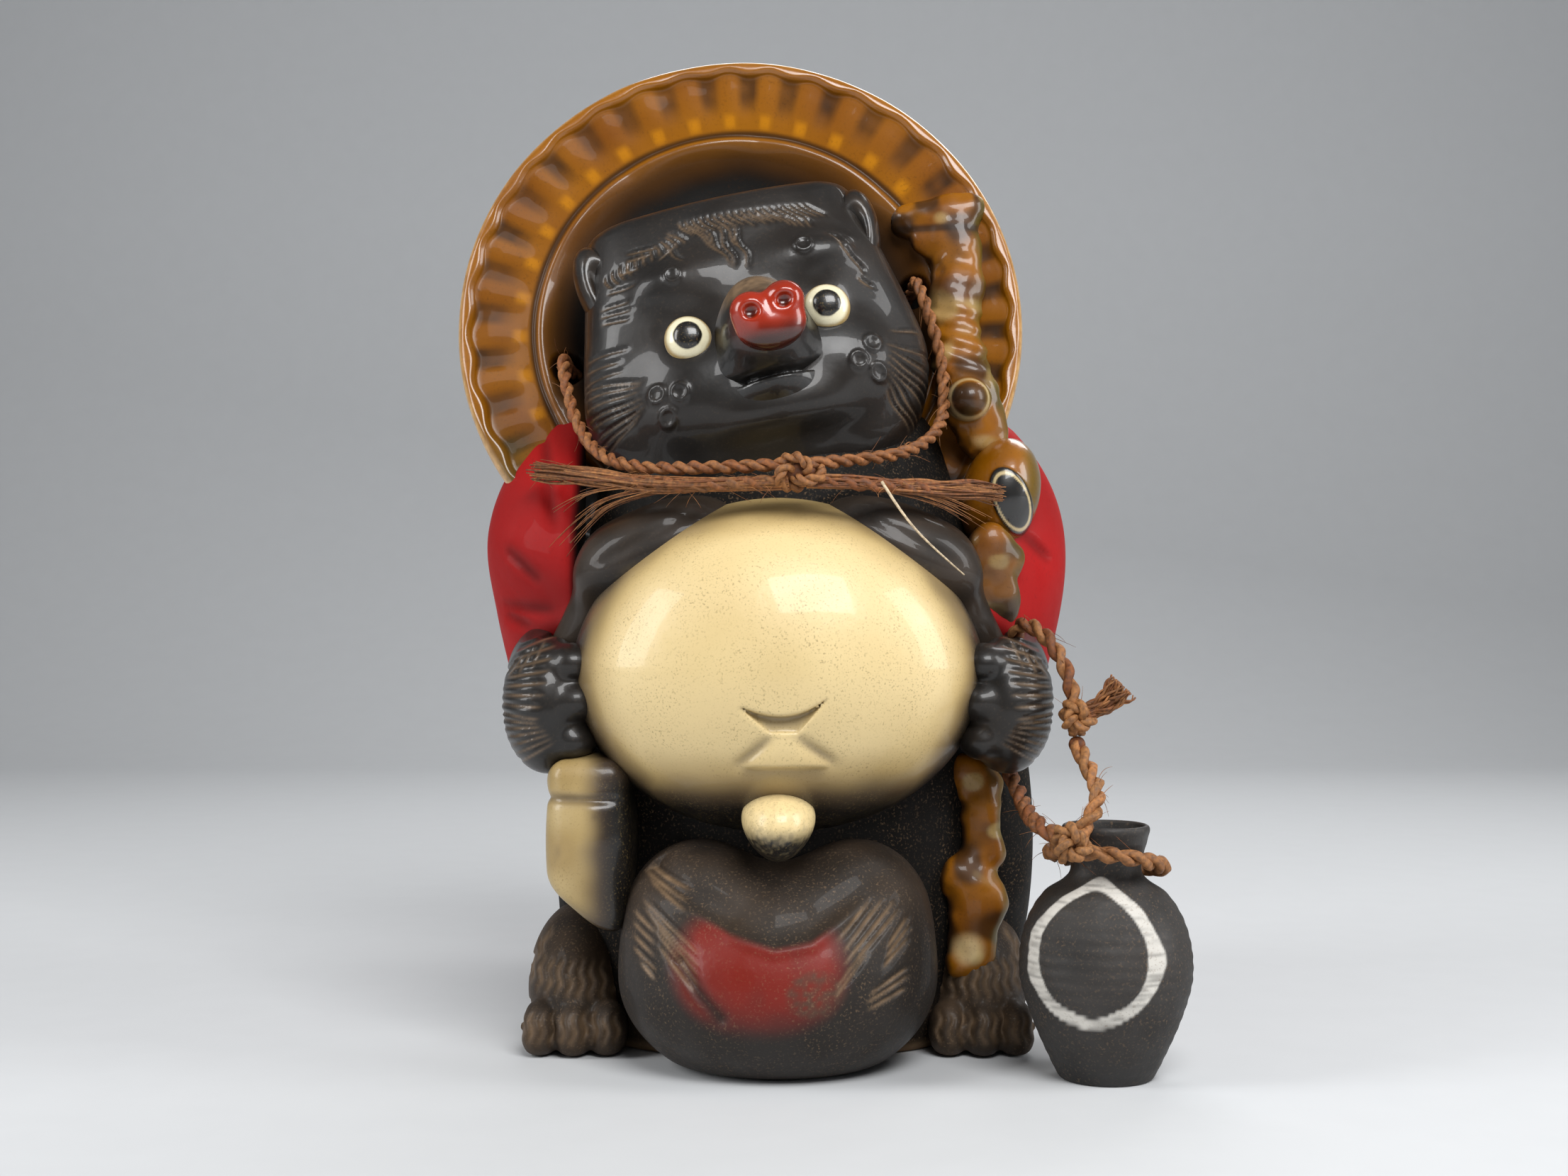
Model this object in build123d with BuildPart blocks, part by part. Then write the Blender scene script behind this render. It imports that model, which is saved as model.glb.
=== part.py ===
"""Glazed ceramic raccoon-dog statue with a round hat, a chin cord and a sake flask on a rope.

The figure faces -Y, +X lies on the viewer's right and the floor is Z = 0. All sizes are millimetres.
"Right" and "left" in the names are the figure's own sides.
"""
import os
from math import cos, pi, radians, sin, tan

from build123d import *

os.makedirs("parts", exist_ok=True)

# Trunk: the cast body that every other clay piece is luted to
clay_wall = 6.0
trunk_height = 190.0
trunk_width = 136.0
trunk_depth = 114.0
trunk_middle = 12.0
vent_diameter = 12.0

# Belly
belly_width = 117.0
belly_depth = 84.0
belly_height = 95.0
belly_middle = -34.0
belly_level = 110.5

# Cape with its sleeves
cape_width = 172.0
cape_depth = 120.0
cape_middle = 16.0
cape_top = 190.0
cape_hem_front = 119.0
cape_hem_back = 100.0
cape_run_under = 20.0
cape_opening = 114.0

# Hat: a dished disc, tilted back and rolled to the figure's right
hat_diameter = 171.0
hat_depth = 56.0
hat_x = -11.5
hat_y = 8.0
hat_level = 212.0
hat_tilt = 12.0
hat_roll = 13.0
hat_wall = 4.5
hat_plate_depth = 8.0
hat_plate_diameter = 100.0
brim_inner_diameter = 124.0
brim_outer_diameter = 162.0
brim_rise = 3.2
brim_edge = 8.0
crown_diameter = 44.0
crown_depth = 6.0
hat_bulge = 7.0
flute_count = 36
flute_end_share = 0.999
flute_radius = 4.2
flute_cut = 1.5
flute_margin = 3.0
cord_hole_diameter = 9.2
cord_hole_spread = 108.0

# Head, set in the hat's plane: levels are up from the hat's middle, outs are towards the face
head_top_level = 30.0
head_top_width = 68.0
cheek_level = -24.0
cheek_width = 103.0
jaw_level = -57.0
jaw_width = 68.0
head_middle = -13.0
head_corner = 13.0
head_outs = (-8.0, 20.0, 27.0, 32.5, 37.0, 40.5, 42.0)
head_shares = (0.96, 1.0, 0.98, 0.88, 0.70, 0.42, 0.20)
face_shift = 2.5
muzzle_pad = (33.0, 25.0, 22.0)
muzzle_pad_spread = 39.0
muzzle_pad_level = -29.5
muzzle_pad_out = 32.0
brow = (26.0, 10.0, 13.0)
brow_spread = 36.0
brow_level = 3.5
brow_out = 36.5
ear_width = 13.0
ear_height = 32.0
ear_depth = 20.0
ear_spread = 75.0
ear_level = 13.5
ear_out = 20.0
eye_diameter = 12.6
eye_spread = 40.3
eye_level = -14.2
eye_out = 39.5
eye_stand = 5.0
snout_width = 31.0
snout_height = 28.0
snout_length = 42.0
snout_shift = 3.6
snout_level = -19.8
snout_out = 41.0
nose_width = 20.5
nose_height = 15.5
nose_depth = 13.0
nose_shift = 5.0
nose_level = -18.8
nose_out = 58.5

# Collar folds on the chest
collar_width = 46.0
collar_depth = 30.0
collar_height = 24.0
collar_spread = 68.0
collar_middle = -36.0
collar_level = 144.0
collar_slope = 22.0

# Arms and paws
paw_width = 28.0
paw_depth = 36.0
paw_height = 39.0
paw_spread = 133.0
paw_middle = -34.0
paw_level = 99.5
forearm_width = 25.0
forearm_depth = 44.0
forearm_height = 34.0
forearm_rise = 6.0
forearm_back = 22.0
forearm_out = 5.0
rope_hole_diameter = 6.4

# Passbook that hangs from the right paw
book_width = 23.0
book_height = 47.0
book_depth = 30.0
book_x = -52.0
book_front = -51.0
book_foot = 39.0
book_point = 12.0
book_point_shift = 2.3
book_side_point = 7.2
book_roll_overhang = 1.0
book_corner = 3.0
book_roll_diameter = 8.0

# Money bag between the feet, with its knob
bag_width = 88.0
bag_depth = 78.0
bag_height = 72.0
bag_middle = -42.0
bag_level = 28.0
bag_lobe_diameter = 44.0
bag_lobe_spread = 40.0
bag_lobe_level = 42.0
knob_width = 21.0
knob_depth = 30.0
knob_height = 20.0
knob_middle = -58.0
knob_level = 68.0

# Feet and tail
foot_width = 31.0
foot_depth = 54.0
foot_height = 48.0
foot_spread = 116.0
foot_middle = -8.0
foot_level = 16.0
toe_count = 3
toe_width = 11.0
toe_depth = 18.0
toe_height = 17.0
toe_pitch = 9.5
toe_middle = -31.0
toe_level = 7.0
tail_width = 40.0
tail_depth = 36.0
tail_height = 62.0
tail_middle = 70.0
tail_level = 24.0

# Sash: ochre lumps from the hat to the left foot, each (x, y, z, width, depth, height)
sash_upper_lumps = (
    (53.0, 10.0, 244.0, 19.0, 16.0, 28.0),
    (58.0, 5.0, 217.0, 16.0, 18.0, 40.0),
    (60.5, -3.0, 186.0, 18.0, 34.0, 34.0),
)
sash_middle_lumps = ((61.0, -21.0, 138.5, 19.0, 28.0, 24.0),)
sash_lower_lumps = (
    (55.5, -20.0, 74.0, 16.0, 40.0, 30.0),
    (55.5, -22.0, 52.0, 15.0, 38.0, 30.0),
    (53.0, -24.0, 30.0, 19.0, 40.0, 30.0),
)
medallion_width = 25.0
medallion_depth = 34.0
medallion_height = 34.0
medallion_x = 65.0
medallion_y = -9.0
medallion_level = 159.0

# Sake flask that stands in front of the left paw
flask_x = 89.0
flask_y = -59.0
flask_height = 68.5
flask_width = 46.8
flask_base_width = 25.0
flask_widest_level = 32.0
flask_shoulder_width = 36.0
flask_shoulder_level = 49.0
flask_neck_width = 19.0
flask_neck_level = 56.5
flask_mouth_width = 23.6
flask_wall = 3.2
flask_bore = 12.6

# Chin cord: palm twine through the two holes of the hat, tied under the chin
twine_diameter = 3.8
chin_knot_x = 5.4
chin_knot_y = -57.0
chin_knot_level = 164.0
chin_knot_width = 16.0
chin_knot_height = 11.0
chin_inner_points = (
    (-54.0, 0.0, 2.0),
    (-54.0, 0.0, -11.0),
    (-46.0, 0.0, -19.5),
    (-20.0, -1.5, -21.0),
    (20.0, 1.0, -21.0),
    (46.0, 0.0, -19.5),
    (54.0, 0.0, -11.0),
    (54.0, 0.0, 2.0),
)
chin_exit_points = ((-54.0, 0.0, 9.0), (54.0, 0.0, 9.0))
chin_right_points = (
    (-63.2, -10.5, 194.5),
    (-59.0, -18.0, 181.0),
    (-52.0, -30.0, 170.5),
    (-40.0, -43.0, 166.0),
    (-23.0, -52.0, 165.3),
    (3.0, -57.0, 166.2),
)
chin_left_points = (
    (43.5, -4.5, 217.5),
    (48.0, -7.0, 203.0),
    (49.0, -11.5, 190.0),
    (47.5, -22.0, 179.5),
    (40.0, -36.0, 172.0),
    (28.0, -47.0, 168.3),
    (8.0, -57.0, 166.2),
)
chin_right_tail_points = (
    (3.0, -57.5, 161.8),
    (-18.0, -56.5, 160.3),
    (-36.0, -50.5, 161.0),
    (-52.0, -40.0, 163.8),
    (-63.0, -30.0, 165.6),
    (-70.0, -22.0, 166.2),
)
chin_left_tail_points = (
    (8.0, -57.5, 161.8),
    (30.0, -54.0, 160.6),
    (46.0, -45.5, 159.6),
    (56.5, -35.5, 159.9),
    (63.5, -28.5, 159.2),
)

# Flask rope: palm rope through the left paw, with a slip knot and a noose round the flask's neck
rope_diameter = 4.7
rope_clearance = 0.3
rope_hole_back = 7.0
rope_pivot_level = 79.0
slip_knot_x = 82.5
slip_knot_y = -49.5
slip_knot_level = 97.0
slip_knot_width = 11.0
slip_knot_height = 10.0
noose_diameter = 30.0
noose_level = 59.0
noose_tilt = 14.0
noose_knot_turn = 231.0
noose_knot_reach = 18.0
noose_knot_level = 65.0
noose_knot_width = 11.5
paw_loop_points = (
    (66.7, -27.1, 121.0),
    (71.0, -34.0, 122.6),
    (76.2, -41.0, 118.3),
    (80.6, -47.0, 109.0),
    (82.5, -49.5, 98.0),
)
frayed_end_points = (
    (83.0, -49.5, 97.0),
    (89.5, -50.0, 99.5),
    (95.0, -51.0, 105.5),
)
drop_front_points = (
    (84.6, -54.5, 84.0),
    (86.3, -60.5, 79.0),
    (85.6, -67.5, 74.6),
    (81.2, -72.4, 69.0),
    (77.7, -73.0, 65.0),
)
drop_back_points = (
    (68.4, -35.5, 73.5),
    (69.4, -49.0, 69.6),
    (71.4, -63.0, 67.4),
    (77.7, -73.0, 65.0),
)

hat_plane = Plane(
    (hat_x, hat_y, hat_level),
    x_dir=(
        cos(radians(hat_roll)),
        sin(radians(hat_roll)) * sin(radians(hat_tilt)),
        sin(radians(hat_roll)) * cos(radians(hat_tilt)),
    ),
    z_dir=(0, -cos(radians(hat_tilt)), sin(radians(hat_tilt))),
)
rope_hole_x = paw_spread / 2
rope_hole_y = paw_middle + rope_hole_back
rope_pivot_back = (rope_hole_x, rope_hole_y, rope_pivot_level)
rope_pivot_front = (
    slip_knot_x,
    slip_knot_y,
    slip_knot_level - slip_knot_height / 2 - rope_clearance - rope_diameter / 2,
)


def oval_stack(levels):
    """Loft through upright ovals, each given as height, front, back and width."""
    with BuildPart() as form:
        for height, front, back, width in levels:
            with BuildSketch(Plane.XY.offset(height)):
                with Locations((0, (front + back) / 2)):
                    Ellipse(width / 2, (back - front) / 2)
        loft()
    return form.part


def ball(plane, width, depth, height):
    """Oval ball in a plane: width along its X, depth along its Y and height along its Z."""
    with BuildPart() as form:
        Sphere(0.5)
        scale(by=(width, depth, height))
    return form.part.moved(plane.location)


def halved_ball(plane, width, depth, height):
    """The same ball made of two halves, so that a cut in its flank meets no closed surface."""
    with BuildPart() as half:
        Sphere(0.5, arc_size3=180, align=None)
        scale(by=(width, depth, height))
    with BuildPart() as form:
        add(half.part)
        add(half.part.rotate(Axis.Z, 180))
    return form.part.moved(plane.location)


def face_plane(across, up, out):
    """Plane parallel to the hat's disc, across and up from its middle and out towards the face."""
    return Plane(hat_plane.from_local_coords((across, up, out)), hat_plane.x_dir, hat_plane.z_dir)


def cord_radii(points):
    """Bend radii of a cord's corners: each arc is as large as its two runs allow."""
    radii = []
    for before, corner, after in zip(points, points[1:], points[2:]):
        run_in = Vector(*corner) - Vector(*before)
        run_out = Vector(*after) - Vector(*corner)
        half_turn = radians(run_in.get_angle(run_out)) / 2
        radii.append(0.45 * min(run_in.length, run_out.length) / tan(half_turn))
    return radii


def cord_tube(name, points, diameter):
    """Tube along straight runs joined by tangent arcs."""
    radii = cord_radii(points)
    with BuildPart() as tube:
        with BuildLine() as path:
            FilletPolyline(*points, radius=radii)
        with BuildSketch(Plane(path.line @ 0, z_dir=path.line % 0)):
            Circle(diameter / 2)
        sweep()
    length = path.wire().length
    filled = tube.part.volume / (pi * diameter**2 / 4 * length)
    print(f"{name}: length {length:.1f}, volume {filled:.4f} of section times length")
    print(f"{name}: radii {[round(radius, 1) for radius in radii]}")
    return tube.part


def write(name, builder):
    """Label a finished piece and write it to its own file."""
    builder.part.label = name
    export_step(builder.part, f"parts/{name}.step")


# Trunk: a hollow casting with a flat floor and a vent, narrowing to the neck
def trunk_levels(wall):
    """Levels of the trunk's oval stack, drawn in by a wall on every side."""
    shares = ((0.0, 0.92), (0.14, 0.97), (0.38, 1.0), (0.58, 0.99), (0.79, 0.88), (1.0, 0.62))
    inner_height = trunk_height - 2 * wall
    return [
        (
            wall + inner_height * rise,
            trunk_middle - trunk_depth * share / 2 + wall,
            trunk_middle + trunk_depth * share / 2 - wall,
            trunk_width * share - 2 * wall,
        )
        for rise, share in shares
    ]


trunk_form = oval_stack(trunk_levels(0.0))
with BuildPart() as trunk:
    add(trunk_form)
    add(oval_stack(trunk_levels(clay_wall)), mode=Mode.SUBTRACT)
    with Locations((0, trunk_middle, 0)):
        Cylinder(vent_diameter / 2, 4 * clay_wall, mode=Mode.SUBTRACT)
write("trunk", trunk)

# Belly: a round shell in front of the trunk
belly_plane = Plane((0, belly_middle, belly_level))
belly_form = ball(belly_plane, belly_width, belly_depth, belly_height)
belly_room = ball(
    belly_plane, belly_width - 2 * clay_wall, belly_depth - 2 * clay_wall, belly_height - 2 * clay_wall
)
with BuildPart() as belly:
    add(belly_form)
    add(belly_room, mode=Mode.SUBTRACT)
    add(trunk_form, mode=Mode.SUBTRACT)
write("belly", belly)

# Cape: a short coat over the back and shoulders, open in front, with a hem that falls towards the back
cape_shares = ((0.0, 0.90, 0.95, 0.98), (0.32, 0.99, 1.0, 1.0), (0.58, 1.0, 0.95, 0.97),
               (0.77, 0.97, 0.62, 0.87), (0.92, 0.86, 0.35, 0.73), (1.0, 0.70, 0.17, 0.60))
cape_foot = cape_hem_back - cape_run_under
cape_levels = [
    (
        cape_foot + (cape_top - cape_foot) * rise,
        cape_middle - cape_depth / 2 * front,
        cape_middle + cape_depth / 2 * back,
        cape_width * side,
    )
    for rise, side, front, back in cape_shares
]
cape_front = cape_middle - cape_depth / 2
cape_back = cape_middle + cape_depth / 2
with BuildPart() as cape:
    add(oval_stack(cape_levels))
    add(trunk_form, mode=Mode.SUBTRACT)
    add(belly_form, mode=Mode.SUBTRACT)
    with Locations((0, cape_front, (cape_foot + cape_top) / 2)):
        Box(cape_opening, cape_depth, cape_top, mode=Mode.SUBTRACT)
    with BuildSketch(Plane.YZ):
        with BuildLine():
            Polyline(
                (cape_front - 1, 0),
                (cape_front - 1, cape_hem_front),
                (cape_back + 1, cape_hem_back),
                (cape_back + 1, 0),
                close=True,
            )
        make_face()
    extrude(amount=cape_width, both=True, mode=Mode.SUBTRACT)
write("cape", cape)

# Hat: a hollow lens with a fluted band under its brim and two holes for the chin cord
brim_inner = (brim_inner_diameter / 2, -brim_rise)
brim_outer = (brim_outer_diameter / 2, brim_rise)
brim_tip = (hat_diameter / 2, brim_rise - brim_edge / 2)
brim_back = (brim_outer_diameter / 2, brim_rise - brim_edge)
crown_edge = (crown_diameter / 2, crown_depth - hat_depth)
back_run = Vector(*crown_edge) - Vector(*brim_back)
back_lean = Vector(-back_run.Y, back_run.X).normalized() * hat_bulge
back_bend = (Vector(*brim_back) + Vector(*crown_edge)) / 2 + back_lean
back_middle = (back_bend.X, back_bend.Y)
plate_edge = (hat_plate_diameter / 2, -hat_plate_depth)


def mirrored(point):
    return (-point[0], point[1])


def hat_lens(inset):
    """The hat's outer form, or its hollow where an inset is given, revolved about the hat's axis."""
    with BuildPart() as form:
        with BuildSketch(Plane(hat_plane.origin, hat_plane.x_dir, -hat_plane.y_dir)):
            with BuildLine():
                Polyline(mirrored(plate_edge), plate_edge, brim_inner, brim_outer)
                ThreePointArc(brim_outer, brim_tip, brim_back)
                Polyline(brim_back, back_middle, crown_edge)
                ThreePointArc(crown_edge, (0, -hat_depth), mirrored(crown_edge))
                Polyline(mirrored(crown_edge), mirrored(back_middle), mirrored(brim_back))
                ThreePointArc(mirrored(brim_back), mirrored(brim_tip), mirrored(brim_outer))
                Polyline(mirrored(brim_outer), mirrored(brim_inner), mirrored(plate_edge))
            make_face()
            if inset:
                offset(amount=-inset, mode=Mode.REPLACE)
            Rectangle(hat_diameter, 4 * hat_depth, align=(Align.MIN, Align.CENTER), mode=Mode.INTERSECT)
        revolve(axis=Axis(hat_plane.origin, hat_plane.z_dir))
    return form.part


band_run = Vector(*brim_outer) - Vector(*brim_inner)
band_lean = Vector(-band_run.Y, band_run.X).normalized() * (flute_radius - flute_cut)
flute_middle = (Vector(*brim_inner) + Vector(*brim_outer)) / 2 + band_lean
flute_plane = Plane((flute_middle.X, 0, flute_middle.Y), x_dir=(0, 1, 0), z_dir=(band_run.X, 0, band_run.Y))
flute_length = band_run.length - 2 * flute_margin
with BuildPart(flute_plane) as flute:
    Cylinder(flute_radius, flute_length)
    with Locations((0, 0, flute_length / 2), (0, 0, -flute_length / 2)):
        Sphere(flute_radius * flute_end_share)
hat_form = hat_lens(0.0)
with BuildPart(hat_plane) as hat:
    add(hat_form.moved(hat_plane.location.inverse()))
    add(hat_lens(hat_wall).moved(hat_plane.location.inverse()), mode=Mode.SUBTRACT)
    with PolarLocations(0, flute_count):
        add(flute.part, mode=Mode.SUBTRACT)
    with Locations((-cord_hole_spread / 2, 0), (cord_hole_spread / 2, 0)):
        Cylinder(cord_hole_diameter / 2, 2 * (hat_plate_depth + hat_wall), mode=Mode.SUBTRACT)
    add(trunk_form.moved(hat_plane.location.inverse()), mode=Mode.SUBTRACT)
    add(cape.part.moved(hat_plane.location.inverse()), mode=Mode.SUBTRACT)
with BuildPart() as hat_without_crumbs:
    add(hat.part.solids().sort_by(SortBy.VOLUME)[-1])
write("hat", hat_without_crumbs)

# Head: a rounded block in the hat's plane, widest at the cheeks, domed towards the face, with pads and brows
head_outline = (
    (-head_top_width / 2, head_top_level),
    (head_top_width / 2, head_top_level),
    (cheek_width / 2, cheek_level),
    (jaw_width / 2, jaw_level),
    (-jaw_width / 2, jaw_level),
    (-cheek_width / 2, cheek_level),
)
with BuildPart() as head_block:
    for out, share in zip(head_outs, head_shares):
        with BuildSketch(face_plane(0, head_middle, out)) as section:
            Polygon(*((x * share, (y - head_middle) * share) for x, y in head_outline), align=None)
            fillet(section.vertices(), head_corner * share)
    loft()
    for side in (-1, 1):
        pad_across = face_shift + side * muzzle_pad_spread / 2
        brow_across = face_shift + side * brow_spread / 2
        add(ball(face_plane(pad_across, muzzle_pad_level, muzzle_pad_out), *muzzle_pad))
        add(ball(face_plane(brow_across, brow_level, brow_out), *brow))
head_form = head_block.part
with BuildPart() as head:
    add(head_form)
    add(trunk_form, mode=Mode.SUBTRACT)
    add(hat_form, mode=Mode.SUBTRACT)
write("head", head)

# Face: snout, nose, eyes and ears on the head
snout_form = ball(face_plane(snout_shift, snout_level, snout_out), snout_width, snout_height, snout_length)
with BuildPart() as snout:
    add(snout_form)
    add(head_form, mode=Mode.SUBTRACT)
write("snout", snout)

with BuildPart() as nose:
    add(ball(face_plane(nose_shift, nose_level, nose_out), nose_width, nose_height, nose_depth))
    add(snout_form, mode=Mode.SUBTRACT)
write("nose", nose)

for side, name in ((-1, "right"), (1, "left")):
    with BuildPart() as eye:
        eye_plane = face_plane(face_shift + side * eye_spread / 2, eye_level, eye_out)
        add(ball(eye_plane, eye_diameter, eye_diameter, 2 * eye_stand))
        add(head_form, mode=Mode.SUBTRACT)
        add(snout_form, mode=Mode.SUBTRACT)
    write(f"{name}_eye", eye)
    with BuildPart() as ear:
        ear_plane = face_plane(side * ear_spread / 2, ear_level, ear_out)
        add(halved_ball(ear_plane, ear_width, ear_height, ear_depth))
        add(head_form, mode=Mode.SUBTRACT)
        add(hat_form, mode=Mode.SUBTRACT)
    write(f"{name}_ear", ear)

# Collar folds on the chest, one on each side of the belly's top
for side, name in ((-1, "right"), (1, "left")):
    with BuildPart() as collar:
        collar_place = Plane((side * collar_spread / 2, collar_middle, collar_level))
        collar_plane = collar_place.rotated((0, side * collar_slope, 0))
        add(ball(collar_plane, collar_width, collar_depth, collar_height))
        for form in (trunk_form, belly_form, cape.part, head_form):
            add(form, mode=Mode.SUBTRACT)
    write(f"{name}_collar", collar)

# Arms: a forearm out of each sleeve and a paw against the belly; the rope's hole is in the left one
arms = {}
for side, name in ((-1, "right"), (1, "left")):
    paw_plane = Plane((side * paw_spread / 2, paw_middle, paw_level))
    forearm_plane = Plane(
        (side * (paw_spread / 2 + forearm_out), paw_middle + forearm_back, paw_level + forearm_rise)
    )
    with BuildPart() as arm:
        add(halved_ball(paw_plane, paw_width, paw_depth, paw_height))
        add(halved_ball(forearm_plane, forearm_width, forearm_depth, forearm_height))
        for form in (trunk_form, belly_form, cape.part):
            add(form, mode=Mode.SUBTRACT)
        if name == "left":
            with Locations((rope_hole_x, rope_hole_y, paw_level)):
                Cylinder(rope_hole_diameter / 2, 2 * paw_height, mode=Mode.SUBTRACT)
    arms[name] = arm.part
    write(f"{name}_arm", arm)

# Money bag: a hollow sack with two round lobes at its top, flat where it stands
bag_plane = Plane((0, bag_middle, bag_level))
with BuildPart() as bag_block:
    add(ball(bag_plane, bag_width, bag_depth, bag_height))
    for side in (-1, 1):
        lobe_plane = Plane((side * bag_lobe_spread / 2, bag_middle, bag_lobe_level))
        add(ball(lobe_plane, bag_lobe_diameter, bag_lobe_diameter, bag_lobe_diameter))
    split(bisect_by=Plane.XY, keep=Keep.TOP)
bag_form = bag_block.part
with BuildPart() as bag:
    add(bag_form)
    bag_room_size = [size - 2 * clay_wall for size in (bag_width, bag_depth, bag_height)]
    bag_room = ball(bag_plane, *bag_room_size)
    add(bag_room.split(Plane.XY.offset(clay_wall), keep=Keep.TOP), mode=Mode.SUBTRACT)
    add(trunk_form, mode=Mode.SUBTRACT)
    add(belly_form, mode=Mode.SUBTRACT)
write("money_bag", bag)

with BuildPart() as knob:
    add(ball(Plane((0, knob_middle, knob_level)), knob_width, knob_depth, knob_height))
    add(belly_form, mode=Mode.SUBTRACT)
    add(bag_form, mode=Mode.SUBTRACT)
    add(trunk_form, mode=Mode.SUBTRACT)
write("bag_knob", knob)

# Feet: a rounded foot with three toes on each side, flat on the floor
feet = {}
for side, name in ((-1, "right"), (1, "left")):
    with BuildPart() as foot:
        foot_plane = Plane((side * foot_spread / 2, foot_middle, foot_level))
        add(ball(foot_plane, foot_width, foot_depth, foot_height))
        for step in range(toe_count):
            toe_x = side * foot_spread / 2 + (step - (toe_count - 1) / 2) * toe_pitch
            add(ball(Plane((toe_x, toe_middle, toe_level)), toe_width, toe_depth, toe_height))
        split(bisect_by=Plane.XY, keep=Keep.TOP)
        add(trunk_form, mode=Mode.SUBTRACT)
        add(bag_form, mode=Mode.SUBTRACT)
    feet[name] = foot.part
    write(f"{name}_foot", foot)

# Tail: a short brush that rests on the floor behind the trunk
with BuildPart() as tail:
    add(ball(Plane((0, tail_middle, tail_level)), tail_width, tail_depth, tail_height))
    split(bisect_by=Plane.XY, keep=Keep.TOP)
    add(trunk_form, mode=Mode.SUBTRACT)
write("tail", tail)

# Passbook: a hanging booklet with a rolled top and a pointed foot, against the right flank
with BuildPart() as passbook:
    with BuildSketch(Plane.XZ.offset(-book_front)):
        with BuildLine():
            Polyline(
                (book_x - book_width / 2, book_foot + book_height),
                (book_x - book_width / 2, book_foot + book_point),
                (book_x + book_point_shift, book_foot),
                (book_x + book_width / 2, book_foot + book_side_point),
                (book_x + book_width / 2, book_foot + book_height),
                close=True,
            )
        make_face()
        fillet(vertices(), book_corner)
    extrude(amount=-book_depth)
    book_roll_level = book_foot + book_height - book_roll_diameter
    with Locations((book_x, book_front + book_roll_diameter / 2, book_roll_level)):
        Cylinder(book_roll_diameter / 2, book_width + 2 * book_roll_overhang, rotation=(0, 90, 0))
    for form in (trunk_form, belly_form, bag_form, arms["right"], feet["right"]):
        add(form, mode=Mode.SUBTRACT)
write("passbook", passbook)


# Sash: ochre lumps down the left side, in three pieces, and the medallion between them
def lumps(rows, *neighbours):
    """Fused oval balls, each given as its middle and its size and cut by its neighbours first."""
    cut_lumps = []
    for x, y, z, width, depth, height in rows:
        with BuildPart() as lump:
            add(ball(Plane((x, y, z)), width, depth, height))
            for neighbour in neighbours:
                add(neighbour, mode=Mode.SUBTRACT)
        cut_lumps.append(lump.part)
    with BuildPart() as form:
        add(cut_lumps)
    return form.part


with BuildPart() as medallion_block:
    medallion_plane = Plane((medallion_x, medallion_y, medallion_level))
    add(ball(medallion_plane, medallion_width, medallion_depth, medallion_height))
    for form in (trunk_form, cape.part, belly_form, hat_form):
        add(form, mode=Mode.SUBTRACT)
medallion_form = medallion_block.part
with BuildPart() as medallion:
    add(medallion_form)
write("medallion", medallion)

with BuildPart() as sash_upper:
    add(lumps(sash_upper_lumps, hat_form, trunk_form, cape.part, head_form, medallion_form))
    split(bisect_by=hat_plane.offset(-brim_rise), keep=Keep.TOP)
write("sash_upper", sash_upper)

with BuildPart() as sash_middle:
    add(lumps(sash_middle_lumps, trunk_form, cape.part, belly_form, medallion_form, arms["left"]))
write("sash_middle", sash_middle)

with BuildPart() as sash_lower:
    add(lumps(sash_lower_lumps, trunk_form, belly_form, bag_form, arms["left"], feet["left"]))
write("sash_lower", sash_lower)


# Flask: a round-shouldered bottle with a narrow neck and a flared mouth
def flask_turning(outer_points, rim_points):
    """Revolve a smooth side and a straight rim about the flask's axis."""
    with BuildPart() as form:
        with BuildSketch(Plane((flask_x, flask_y, 0), x_dir=(1, 0, 0), z_dir=(0, -1, 0))):
            with BuildLine():
                foot = Line((0, outer_points[0][1]), outer_points[0])
                Spline(*outer_points)
                Polyline(outer_points[-1], *rim_points)
                Line(rim_points[-1], foot @ 0)
            make_face()
        revolve(axis=Axis((flask_x, flask_y, 0), (0, 0, 1)))
    return form.part


flask_side = (
    (flask_base_width / 2, 0),
    (flask_width / 2, flask_widest_level),
    (flask_shoulder_width / 2, flask_shoulder_level),
    (flask_neck_width / 2, flask_neck_level),
    (flask_mouth_width / 2, flask_height),
)
flask_room_side = (
    (flask_base_width / 2 - flask_wall, flask_wall),
    (flask_width / 2 - flask_wall, flask_widest_level),
    (flask_shoulder_width / 2 - flask_wall, flask_shoulder_level - flask_wall),
    (flask_bore / 2, flask_neck_level - flask_wall / 2),
)
with BuildPart() as flask:
    add(flask_turning(flask_side, ((0, flask_height),)))
    mouth_bore = (flask_mouth_width / 2 - flask_wall, flask_height + 1)
    add(flask_turning(flask_room_side, (mouth_bore, (0, flask_height + 1))), mode=Mode.SUBTRACT)
write("flask", flask)

# Chin cord: one stretch inside the hat, one down each cheek, the knot under the chin and its two tails
chin_knot_plane = Plane((chin_knot_x, chin_knot_y, chin_knot_level))
chin_knot_form = ball(chin_knot_plane, chin_knot_width, chin_knot_height, chin_knot_height)
with BuildPart() as chin_knot:
    add(chin_knot_form)
write("chin_knot", chin_knot)

chin_inner_route = [tuple(hat_plane.from_local_coords(point)) for point in chin_inner_points]
chin_hole_exits = [tuple(hat_plane.from_local_coords(point)) for point in chin_exit_points]
with BuildPart() as chin_cord_inner:
    add(cord_tube("chin_cord_inner", chin_inner_route, twine_diameter))
write("chin_cord_inner", chin_cord_inner)

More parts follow.
